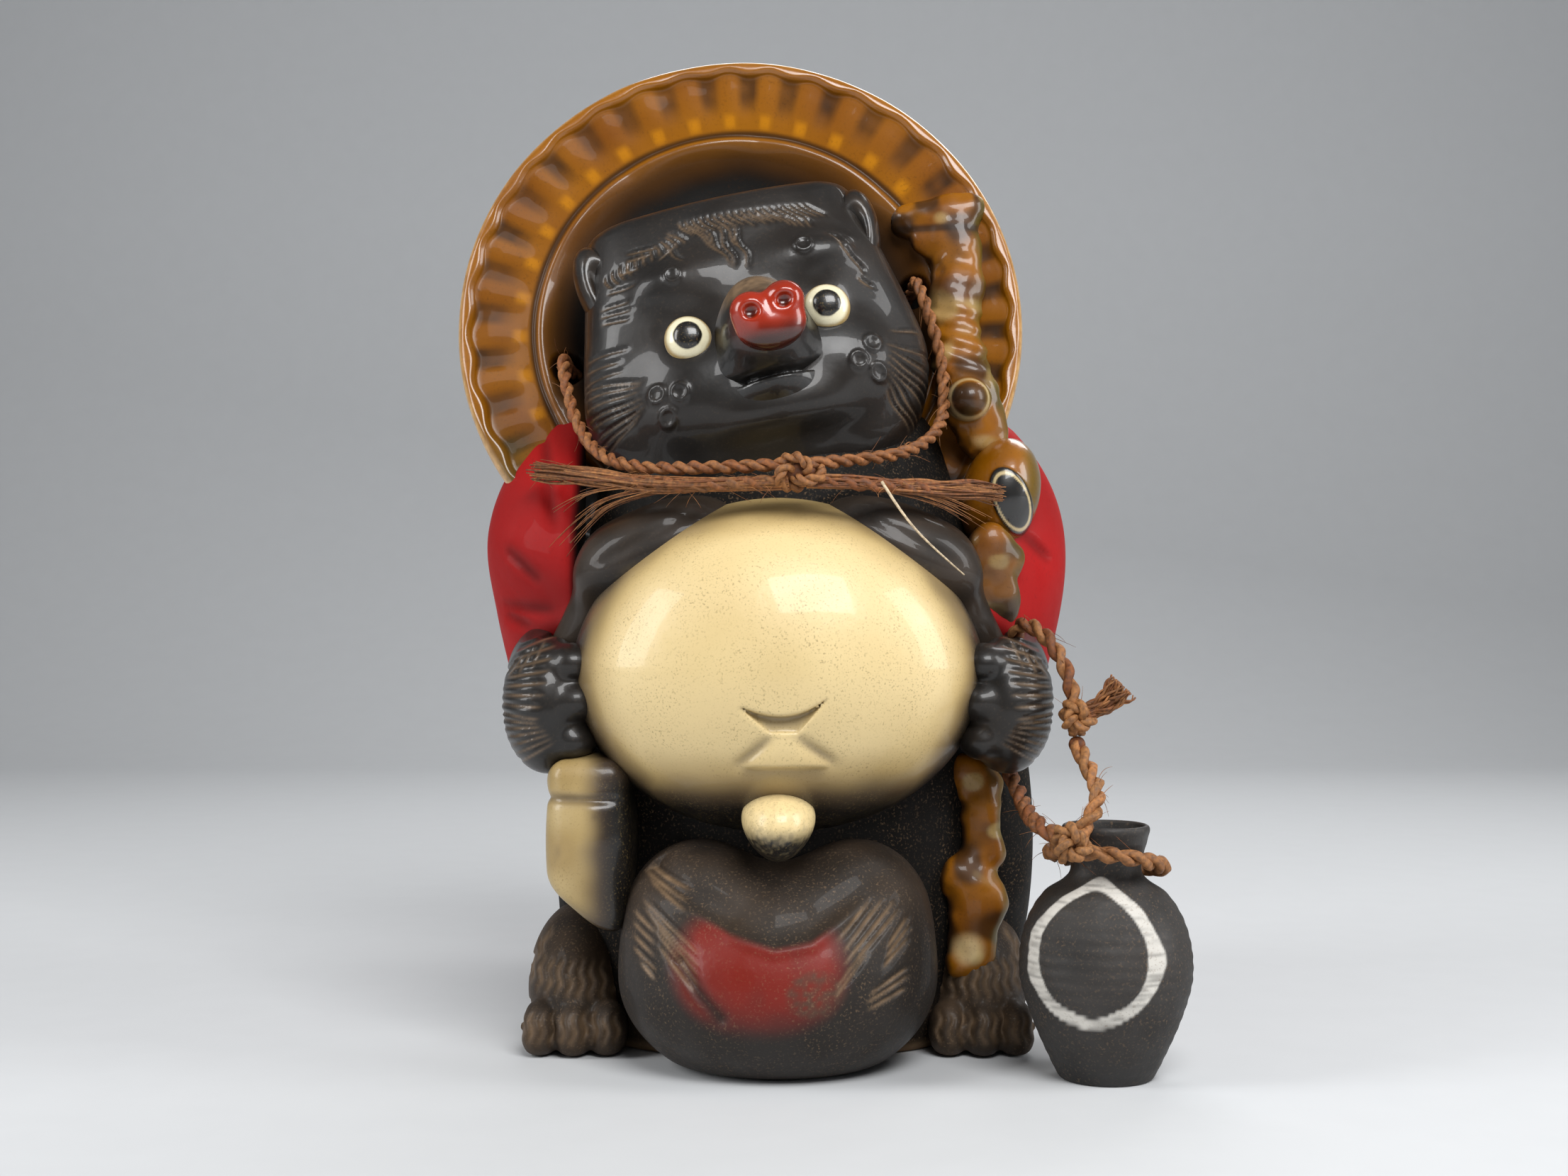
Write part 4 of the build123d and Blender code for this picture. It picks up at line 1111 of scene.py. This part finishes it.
def belly_form(points):
    x, y, z = points
    slim = 1 - 0.10 * np.clip((z - BELLY_CENTRE[2]) / 48, 0, 1)
    solid = ellipsoid(np.stack((x / slim, y, z)), BELLY_CENTRE, BELLY_SIZE)

    def navel(near):
        x, y, z = near
        brow, foot, slopes, rise = navel_levels(x, z)
        off = np.abs(x - NAVEL_X)
        notch = (0.35 + 0.65 * rise) * ramp(z, brow + 0.7, brow - 0.4) * ramp(z, foot - 0.4, foot + 0.7)
        raised = np.clip((slopes - z) / 8.5, 0, 1) * ramp(z, LEDGE_FOOT - 0.8, LEDGE_FOOT + 0.6)
        relief = 3.2 * notch * ramp(off, 12, 10) - 2.3 * raised * ramp(off, 13.4, 11.5)
        return np.where(y < NAVEL_FRONT, relief + 0.9 * strokes(x, z, LEDGE_SIDES, 1.6), 0)
    return near_only(solid, points, RELIEF_REACH, navel)


def belly_paint(points, facing):
    x, y, z = points
    patchy = 0.06 * (noise(points, 9, 4) - 0.5)
    rim = np.hypot(x / (BELLY_SIZE[0] / 2), (z - BELLY_CENTRE[2]) / (BELLY_SIZE[2] / 2)) + patchy
    below = z + 40 * patchy
    brow, foot, slopes, rise = navel_levels(x, z)
    off = np.abs(x - NAVEL_X)
    notch = (0.3 + 0.7 * rise) * ramp(z, brow + 0.5, brow - 0.3) * ramp(z, foot - 0.3, foot + 0.8)
    under = ramp(z, LEDGE_FOOT + 0.2, LEDGE_FOOT - 0.8) * ramp(z, LEDGE_FOOT - 6, LEDGE_FOOT - 1)
    shade = np.maximum(0.7 * notch * ramp(off, 12.2, 11), 0.5 * strokes(x, z, LEDGE_SIDES, 1.5))
    shade = np.maximum(shade, 0.35 * under * ramp(off, 13, 9))
    return painted(
        points, CREAM, (SAND, 0.3 * noise(points, 16, 2)),
        (SAND, 0.85 * np.maximum(ramp(rim, 0.72, 0.92), ramp(below, 92, 80))),
        (BARK, 0.9 * np.maximum(ramp(rim, 0.82, 0.96) * ramp(z, 162, 142), ramp(below, 84, 75))),
        (BLACK, np.maximum(ramp(rim, 0.91, 0.995) * ramp(z, 155, 135), ramp(below, 78, 71))),
        (BARK, shade * (y < NAVEL_FRONT)))


sculpt("belly", belly_form, belly_paint, "cream_glaze", step=0.8)

# Cape: the red coat's shoulders and sleeves, open in front

CAPE_HALF, CAPE_MIDDLE, CAPE_FOOT, CAPE_TOP = (86, 60), 16, 80, 190
CAPE_RISES = (0, 0.32, 0.58, 0.77, 0.92, 1)
CAPE_SIDE, CAPE_FRONT, CAPE_BACK = (np.polyfit(CAPE_RISES, shares, 3) for shares in (
    (0.90, 0.99, 1, 0.97, 0.86, 0.70), (0.95, 1, 0.95, 0.62, 0.35, 0.17), (0.98, 1, 0.97, 0.87, 0.73, 0.60)))
CAPE_CREASES = ((-79, 144, -68, 134), (-82, 127.5, -64, 126), (-81, 125, -72, 121), (-70, 178, -64, 150),
                (72, 148, 81, 140))


def cape_form(points):
    x, y, z = points
    rise = np.clip((z - CAPE_FOOT) / (CAPE_TOP - CAPE_FOOT), 0, 1)
    wide = CAPE_HALF[0] * np.polyval(CAPE_SIDE, rise)
    deep = CAPE_HALF[1] * np.where(y < CAPE_MIDDLE, np.polyval(CAPE_FRONT, rise), np.polyval(CAPE_BACK, rise))
    power = 2 + 1.2 * ramp(z, 125, 150) * (y < CAPE_MIDDLE) * (x < 0)
    reach = (np.abs(x / wide) ** power + np.abs((y - CAPE_MIDDLE) / deep) ** power) ** (1 / power)
    side = (reach - 1) * np.minimum(wide, deep)
    hem = 119 - 19 * ramp(y, -28, 2) + 1.4 * np.sin(x / 7) + 1.2 * np.sin(y / 6)
    solid = meet(meet(side, z - CAPE_TOP, 10), hem - z, 6)
    opening = meet(np.abs(x) - 57 + 0.03 * (150 - z), y - 18, 4)
    solid = cut(solid, opening, 5)
    creases = strokes(x, z, CAPE_CREASES, 1.9) * (y < 20)
    folds = np.sin(np.arctan2(x, y - CAPE_MIDDLE) * 9 + z / 40) * ramp(z, 175, 110) * ramp(y, 20, 50)
    return solid + 1.2 * creases + 0.9 * folds


def cape_paint(points, facing):
    x, y, z = points
    edge = ramp(np.abs(x), 60, 57.2) * (y < 10)
    # painted shade in the creases
    creases = strokes(x, z, CAPE_CREASES, 1.6) * (y < 20)
    return painted(points, RED, (DARK_RED, 0.5 * noise(points, 20, 4) + 0.6 * creases),
                   (DARK_RED, 0.8 * ramp(z, 126, 117) * ramp(y, 0, -25)), (BLACK, edge),
                   gloss=0.25 - 0.25 * edge)


sculpt("cape", cape_form, cape_paint, "red_glaze", step=1.1)

# Collar folds over the belly

def collar_paint(points, facing):
    # painted highlight on the collars' downward faces, above the belly
    under = ramp(facing[2], -0.15, -0.5) * ramp(np.abs(points[0]), 46, 30)
    return painted(points, BLACK, (BARK, 0.6 * noise(points, 9, 3)),
                   (SAND, 0.8 * under * noise(points, 1.0, 2)), gloss=0.55)


for name, side in (("right_collar", -1), ("left_collar", 1)):
    def collar_form(points, side=side, axes=leaning(2, 0, side * 24)):
        roll = ellipsoid(points, (side * 34.5, -35.5, 144), (48, 30, 24), axes)
        roll = join(roll, capsule(points, (side * 45, -32, 140), (side * 57, -21, 116), 8.5), 8)
        return roll + 0.8 * strokes(points[0], points[2], [(side * 20, 155, side * 52, 138)], 2)

    sculpt(name, collar_form, collar_paint, "black_glaze", step=0.8, spare=24)

# Arms: a forearm out of the sleeve, a furred paw and three curled fingers

PAW, PAW_SIZE, PAW_FUR_WIDTH = (65, -34, 99.5), (26, 36, 39), 0.7
FINGERS = ((57.5, -42, 111.5), (56.5, -43, 101), (57.5, -41, 90))
ARM_LUMPS = [((68.5, -12, 105.5), (22, 44, 32), 7)] + [(finger, (14, 17, 11.5), 2.2) for finger in FINGERS]
PAW_FUR = (fan((74.5, 115), (79.5, 98), 8, 13, (158, 186)) + fan((79, 96), (73, 84), 6, 12, (182, 150))
           + fan((66, 118), (74, 112), 4, 8, (-70, -40)))
for name, side in (("right_arm", -1), ("left_arm", 1)):
    def arm_form(points, side=side):
        own = mirrored(points, side)
        form = with_lumps(ellipsoid(own, PAW, PAW_SIZE), own, ARM_LUMPS)
        return combed(form, own, PAW_FUR, 0.8, PAW_FUR_WIDTH, lambda y: y < -10)

    def arm_flat(points, side=side):
        return points[0] * side, points[2]

    sculpt(name, arm_form, black_paint(PAW_FUR, arm_flat, PAW_FUR_WIDTH, 0.4), "black_glaze", step=0.65)

# Passbook: a hanging book with its rolled head, left bare of writing

BOOK_CENTRE, BOOK_HALF, BOOK_ROUND = np.array((-52.5, -36, 61)), np.array((11, 14.5, 24)), 5
BOOK_CUT, BOOK_CREASE = ((-48, 36.5), (-66, 52)), [(-66, 74.4, -44, 74)]


def book_form(points):
    x, y, z = points
    apart = np.abs(points - BOOK_CENTRE[:, None]) - (BOOK_HALF - BOOK_ROUND)[:, None]
    slab = np.linalg.norm(np.maximum(apart, 0), axis=0) + np.minimum(apart.max(axis=0), 0) - BOOK_ROUND
    slab = with_lumps(slab, points, (((-52, -38, 62), (23, 32, 46), 6),))
    (x0, z0), (x1, z1) = BOOK_CUT
    past_cut = ((z - z0) * (x1 - x0) - (x - x0) * (z1 - z0)) / math.hypot(x1 - x0, z1 - z0)
    head = capsule(points, (-60, -42.5, 79), (-51, -43.5, 79.5), 4)
    return join(meet(slab, past_cut, 3), head, 2) + 1.2 * strokes(x, z, BOOK_CREASE, 1.3)


def book_paint(points, facing):
    x, y, z = points
    return painted(points, CREAM * 0.8, (SAND * 0.8, 0.4 + 0.8 * noise(points, 10, 2)),
                   # painted shade over the right side
                   (BARK, ramp(x + 2 * (noise(points, 6, 5) - 0.5), -55.5, -47)),
                   # darker towards the bottom, with painted shade in the crease below the rolled head
                   (BARK, 0.8 * ramp(z, 48, 38) + 0.7 * strokes(x, z, BOOK_CREASE, 1.6)),
                   (BARK, 0.6 * ramp(noise(points, 5, 12), 0.6, 0.8) * ramp(x, -63, -58)),
                   # painted shade, black along the right edge below the head
                   (BLACK, ramp(x, -51, -44) * ramp(z, 84, 76)))


sculpt("passbook", book_form, book_paint, "cream_glaze", step=0.7, spare=7)

# Money bag: two lobes over a full round foot with a brick-red front

BAG_RIDGE = ((-32, 51), (-22.3, 45.5), (-12.4, 40.6), (-0.8, 37.3), (9.1, 38.9), (15.7, 43.1), (26, 49.5))
BAG_FOLD = ((-25.5, 33), (-21, 26), (-15, 19.5))
BAG_FUR = ((-36.1, 56.8, -22.9, 51.8), (-35.6, 55.1, -23.8, 49.2), (-33.9, 53.5, -23.8, 46.7),
           (-35.6, 48.4, -20.4, 36.5), (-34.8, 46.2, -20.4, 33.5), (-33.5, 44.5, -20.4, 31.0),
           (-32.2, 41.6, -20.4, 28.4), (-31.0, 37.3, -21.2, 26.7), (-38.0, 45.0, -32.2, 40.7),
           (-38.3, 42.0, -32.2, 37.8), (-38.3, 39.0, -32.2, 34.4), (-38.0, 35.6, -31.8, 31.0),
           (-36.1, 32.3, -31.8, 28.4), (25.4, 49.2, 16.9, 39.9), (28.8, 49.2, 18.6, 37.3),
           (31.8, 48.4, 18.6, 34.0), (33.1, 46.2, 18.2, 31.0), (26.3, 39.9, 16.5, 28.4),
           (24.6, 36.5, 16.1, 25.9), (35.6, 44.1, 30.1, 37.3), (36.0, 41.6, 29.7, 34.8),
           (35.6, 38.6, 28.8, 32.3), (35.2, 31.0, 25.4, 25.9), (35.6, 28.9, 24.6, 23.8),
           (34.7, 25.9, 24.6, 21.7))
BAG, BAG_SIZE, BAG_FRONT = (0, -42, 25), (89, 78, 63), -48
BAG_LOBES = [((side * 21, -42, 39.5), (44, 54, 46), 6) for side in (-1, 1)]


def bag_form(points):
    solid = meet(with_lumps(ellipsoid(points, BAG, BAG_SIZE), points, BAG_LOBES), -points[2], 3)

    def detail(near):
        x, y, z = near
        above = drawn(x, z - 4.2, BAG_RIDGE, 4.2)
        fold = drawn(x, z, BAG_FOLD, 2.0)
        ridge = drawn(x, z, BAG_RIDGE, 1.8) * ramp(np.abs(x + 3), 30, 20)
        relief = 1.5 * above - 1.3 * ridge + 1.6 * fold + 0.8 * strokes(x, z, BAG_FUR, 0.75)
        return np.where(y < BAG_FRONT, relief, 0)
    return near_only(solid, points, RELIEF_REACH, detail)


def bag_paint(points, facing):
    x, y, z = points
    front = y < BAG_FRONT
    ridge = np.interp(x, *np.array(BAG_RIDGE).T)
    red = ramp(z, ridge + 1.4, ridge - 1.2) * ramp(np.hypot((x + 5) / 24, (z - 32) / 19), 1.08, 0.72)
    red *= 1 - 0.85 * drawn(x, z, BAG_FOLD, 2.2)
    patch = ramp(np.hypot((x - 10) / 8, (z - 26) / 6.5), 1.1, 0.8) * noise(points, 1.2, 8)
    worn = np.clip(strokes(x + 0.9, z + 0.5, BAG_FUR, 0.5), 0, 1)
    return painted(points, SOOT * 0.9, (BARK, 0.5 * noise(points, 10, 4) * ramp(z, 20, 55)),
                   (BRICK, front * red * (0.8 + 0.4 * noise(points, 5, 3))),
                   (SOOT, front * ramp(z, 26, 10)), (BARK, 0.9 * front * patch),
                   (TAN, 0.6 * front * worn * (0.4 + noise(points, 3, 2))), gloss=0.6 + 0.1 * red)


sculpt("money_bag", bag_form, bag_paint, "brown_glaze", step=0.65)


def knob_form(points):
    x, y, z = points
    slim = 1 - 0.33 * np.clip((73 - z) / 15, 0, 1)
    return ellipsoid(np.stack((x / slim, y, z)), (0.2, -58, 68), (22, 30, 19.5))


def knob_paint(points, facing):
    grain = noise(points, 0.8, 3) - 0.5
    return painted(points, CREAM, (BLACK, ramp(points[2], 70, 63.5) + 0.4 * grain))


sculpt("bag_knob", knob_form, knob_paint, "cream_glaze", step=0.6)

# Feet and tail

FOOT, FOOT_SIZE, FOOT_WAVE = (58, -8, 16), (31, 54, 48), 0.5
TOES = [(toe, (11.5, 18, 17), 2.2) for toe in ((48.5, -31, 7), (58, -32, 7), (67.5, -31, 7))]
FOOT_FUR = (fan((48, 26), (70, 28), 9, 11, (-97, -80)) + fan((46, 13), (72, 13), 10, 9, (-94, -84))
            + fan((66, 34), (73, 24), 4, 8, (-70, -80)))
for name, side in (("right_foot", -1), ("left_foot", 1)):
    def foot_form(points, side=side):
        own = mirrored(points, side)
        form = meet(with_lumps(ellipsoid(own, FOOT, FOOT_SIZE), own, TOES), -points[2], 2)
        return combed(form, own, FOOT_FUR, 0.75, 0.7, lambda y: y < 0, FOOT_WAVE)

    def foot_paint(points, facing, side=side):
        x, y, z = mirrored(points, side)
        worn = strokes(x + FOOT_WAVE * np.sin(z), z, FOOT_FUR, 1.0) * ramp(y, 4, -8)
        return painted(points, SOOT, (BARK, 0.9 * noise(points, 7, 4)),
                       (TAN, 0.35 * worn * (0.3 + noise(points, 2.5, 3))), gloss=0.4)

    sculpt(name, foot_form, foot_paint, "brown_glaze", step=0.65)

TAIL, TAIL_SIZE = (0, 68, 25), (40, 40, 60)
TAIL_FUR = fan_rows(4, 50, 11, 18, (2, 0), 9, 10, (-105, -75))


def tail_form(points):
    return combed(meet(ellipsoid(points, TAIL, TAIL_SIZE), -points[2], 3), points, TAIL_FUR, 0.9, 0.9)


def tail_paint(points, facing):
    return painted(points, SOOT, (BARK, noise(points, 8, 6)),
                   (TAN, 0.5 * strokes(points[0], points[2], TAIL_FUR, 1.8) * noise(points, 3, 3)))


sculpt("tail", tail_form, tail_paint, "brown_glaze", step=0.8)

# Sash: ochre cloth knotted at the hat and hanging down the left side, with a boss above the medallion

SASH_ROLLS = {
    "sash_upper": (((40, 14, 244), (57.5, 13, 248.5), 5.4), ((44, 11, 238), (58, 10, 236), 4.6),
                   ((52, 13.5, 244), (53, 10.5, 232), 8), ((56.5, 7, 231), (55.5, 6, 225), 5.6),
                   ((54, 6, 224), (52, 4, 214), 7.4), ((52, 4, 214), (54.5, -1, 202), 7.4),
                   ((54.5, -1, 202), (56.5, -6, 190), 7.4), ((56.5, -6, 190), (60.5, -7, 178), 8)),
    "sash_middle": (((61, -24, 146), (66, -22, 141), 5.6), ((60.5, -25, 139), (64, -23, 132), 6),
                    ((58, -24, 130), (66, -20, 126), 4)),
    "sash_lower": (((54, -24, 80), (60, -22, 75), 5.6), ((59, -25, 70), (58.5, -25, 57), 6),
                   ((53, -27, 50), (58, -27, 44), 7), ((56, -28, 40), (55, -29, 27), 7)),
}
BOSS, BOSS_SIZE = (55.8, -12.5, 187.8), (12.6, 17, 12.6)
FLAT = np.array((1, 1.35, 1))


def sash_paint(points, facing):
    x, y, z = points
    boss = np.hypot(x - BOSS[0], z - BOSS[2])
    return painted(
        points, OCHRE, (AMBER, 1.2 * noise(points, 8, 3) - 0.1),
        (UMBER, 0.85 * ramp(noise(points, 9, 7), 0.5, 0.72)),
        (SAND, 0.7 * ramp(noise(points, 7, 17), 0.62, 0.8)),
        # painted shade on the sides facing outwards
        (OLIVE, 0.6 * ramp(facing[0], 0.35, 0.9)),
        # painted shade on the sides facing in towards the figure and on the undersides
        (BLACK, 0.85 * ramp(facing[0], -0.45, -0.9) + 0.6 * ramp(facing[2], -0.45, -0.9)),
        # painted shade in the hollow between the two top folds, and a dark brown band below the knot
        (UMBER * 0.5, 0.8 * ramp(np.abs(z - 241.8), 1.8, 0.5) + 0.6 * ramp(np.abs(z - 222), 6, 1)),
        (UMBER, 0.8 * ramp(boss, 5.4, 4.2) * (y < -12)),
        # painted highlight round the boss's rim
        (CREAM, 0.55 * ramp(np.abs(boss - 5.8), 0.8, 0.2) * (y < -10) * (z > 175)),
        (BARK, 0.9 * ramp(z, 150, 130) * ramp(z, 118, 128) * (0.4 + noise(points, 6, 2))),
        (CREAM, 0.6 * ramp(np.hypot(x - 54, z - 30), 6, 2) * (y < -30)),
        gloss=0.65 - 0.2 * ramp(z, 160, 140))


for name, rolls in SASH_ROLLS.items():
    def sash_form(points, rolls=rolls, upper=name == "sash_upper"):
        x, y, z = points
        form = None
        for start, end, radius in rolls:
            roll = capsule(points * FLAT[:, None], start * FLAT, end * FLAT, radius) * 0.9
            form = roll if form is None else join(form, roll, 4)
        form = form + 2.4 * (noise(points, 8, 11) - 0.5) + 0.8 * (noise(points, 3.5, 15) - 0.5)
        if upper:
            form = form + 0.35 * np.sin(1.15 * z + 0.35 * x) * ramp(z, 192, 197) * ramp(z, 219, 214)
            form = with_lumps(form, points, ((BOSS, BOSS_SIZE, 1),))
        return form

    sculpt(name, sash_form, sash_paint, "ochre_glaze", step=0.6, spare=9)

# Medallion: an ochre pad with an oval black plaque, its cream ring left bare of writing

PLAQUE, PLAQUE_HALF, PLAQUE_LEAN = (67.5, 157.5), (5.6, 10.2), math.radians(24)


def plaque_share(x, z):
    across, up = x - PLAQUE[0], z - PLAQUE[1]
    c, s = math.cos(PLAQUE_LEAN), math.sin(PLAQUE_LEAN)
    return np.hypot((across * c + up * s) / PLAQUE_HALF[0], (up * c - across * s) / PLAQUE_HALF[1])


def medallion_form(points):
    pad = ellipsoid(points, (65.5, -9, 160), (23, 34, 34), leaning(2, 0, 14))
    return pad - 0.5 * ramp(plaque_share(points[0], points[2]), 1.08, 0.98) * (points[1] < -10)


def medallion_paint(points, facing):
    x, y, z = points
    front, share = y < -12, plaque_share(x, z)
    return painted(points, OCHRE, (AMBER, 0.9 * noise(points, 9, 3)),
                   # painted shade on the pad's outer side and underside
                   (OLIVE, 0.7 * ramp(facing[0], 0.3, 0.85) + 0.5 * ramp(facing[2], -0.3, -0.9)),
                   (BLACK, front * ramp(share, 1.06, 1.0)),
                   (CREAM * 0.85, 0.9 * front * ramp(np.abs(share - 0.85), 0.07, 0.03)))


sculpt("medallion", medallion_form, medallion_paint, "ochre_glaze", step=0.45)

# Flask: thrown stoneware, matt and a little uneven, with a brushed ring

FLASK_PROFILE = ((0, 0.3), (8, 0.3), (11.6, 0.1), (13, 0.9), (15.6, 6), (19.6, 15), (22.6, 24), (23.4, 30),
                 (22.8, 37), (20.6, 44), (16.6, 50), (11.4, 53.6), (9.6, 56.2), (9.7, 59), (10.9, 63.5),
                 (11.8, 67), (11.5, 68.3), (10.4, 68), (8.8, 64), (6.6, 58), (6.4, 54), (12, 49), (18, 42),
                 (19.8, 30), (17, 18), (12, 6), (0, 4.5))
OUTER_POINTS, FLASK_ROWS, FLASK_SIDES, FLASK_RADIUS = 17, 250, 320, 23
RING_LEVEL, RING_FACING, RING_RADIUS = 36.0, math.radians(-109), 16.6
SCRATCH_FACING = 0.25


def from_facing(angle, facing):
    return np.mod(angle - facing + math.pi, ROUND) - math.pi


def flask_mesh():
    verts, faces, angle, outer = turned(FLASK_PROFILE, OUTER_POINTS, FLASK_ROWS, FLASK_SIDES)
    x, y, z = verts
    swell = 1 + 0.008 * np.sin(2 * angle + 0.6) + 0.004 * np.sin(z * 1.9) * outer
    swell -= 0.02 * ramp(np.cos(angle - 0.2), 0.86, 1) * ramp(z, 8, 25) * outer
    x *= swell
    y *= swell
    scratch = ramp(np.abs(from_facing(angle, SCRATCH_FACING)), 0.05, 0.01)
    scratch *= ramp(noise(verts, 3, 6), 0.3, 0.6) * ramp(z, 8, 14) * ramp(z, 46, 40)
    around = from_facing(angle, RING_FACING)
    off_centre = np.hypot(FLASK_RADIUS * np.sin(around), (z - RING_LEVEL) * 0.94)
    wobble = 1.4 * (noise(verts, 7, 9) - 0.5)
    ring = ramp(np.abs(off_centre - RING_RADIUS + wobble), 1.9, 1.4) * (np.abs(around) < 1.5)
    dry = 0.55 + 0.45 * ramp(noise(np.stack((x * 0.3, y * 0.3, z * 3)), 1.6, 5), 0.2, 0.5)
    paint = painted(verts, CHARCOAL, (BLACK, 0.7 * noise(verts, 12, 4) + 0.3 * ramp(z, 14, 2)),
                    # the dark inside is painted shade
                    (TAN, 0.5 * scratch * outer), (CHALK, ring * dry * outer), (BLACK, 0.8 * ~outer))
    return verts + FLASK_AT[:, None], faces, paint


piece("thrown_flask", *flask_mesh(), "dark_stoneware", ["flask"], FLASK)


# Floor, backdrop and light, in metres

def stage_material(name, colour, rough):
    material, tree, shader = tree_of(name)
    grain = texture(tree, "TexNoise", FLOOR_GRAIN, 4)["Fac"]
    wire(tree, shader, {"Base Color": blended(tree, (*colour, 1), (*(colour * 0.96), 1), grain),
                        "Roughness": rough})
    return material


FLOOR_REACH, FLOOR_BACK, SWEEP, BACKDROP, FLOOR_GRAIN = 6.0, 0.9, 0.5, 4.0, 1000 / 60
floor_line = [(-FLOOR_REACH, 0.0), (FLOOR_BACK, 0.0)]
floor_line += [(FLOOR_BACK + SWEEP * math.sin(a), SWEEP * (1 - math.cos(a)))
               for a in np.linspace(0.1, math.pi / 2, 14)]
floor_line += [(FLOOR_BACK + SWEEP, BACKDROP)]
in_scene("floor", smooth_mesh(
    "floor", [(side * FLOOR_REACH, y, z) for y, z in floor_line for side in (-1, 1)],
    [(2 * i, 2 * i + 1, 2 * i + 3, 2 * i + 2) for i in range(len(floor_line) - 1)],
    stage_material("floor", srgb(206, 208, 210), 0.8)))

# Each lamp's place, the point it aims at, its width and height, and its power
LAMPS = {
    "key": ((0.25, -0.7, 0.85), (0, 0, 0.15), (0.6, 0.45), 9.5),
    "left": ((-0.95, -0.35, 0.55), (0, 0, 0.14), (0.4, 0.8), 7),
    "right": ((0.95, -0.2, 0.5), (0, 0, 0.14), (0.35, 0.8), 5.5),
    "back": ((0.2, 0.8, 0.8), (0, 0, 0.16), (0.8, 0.4), 4),
}
for name, (place, aim, size, power) in LAMPS.items():
    light = bpy.data.lights.new(name, "AREA")
    light.shape = "RECTANGLE"
    light.size, light.size_y = size
    light.energy = power
    holder = in_scene(name, light)
    holder.location = place
    holder.rotation_euler = (Vector(aim) - Vector(place)).to_track_quat("-Z", "Y").to_euler()
WORLD_COLOUR, WORLD_STRENGTH = (0.9, 0.92, 0.95, 1), 0.17
world = bpy.data.worlds.new("studio")
world.use_nodes = True
wire(world.node_tree, world.node_tree.nodes["Background"],
     {"Color": WORLD_COLOUR, "Strength": WORLD_STRENGTH})
bpy.context.scene.world = world
bpy.context.scene.view_settings.view_transform = "Standard"
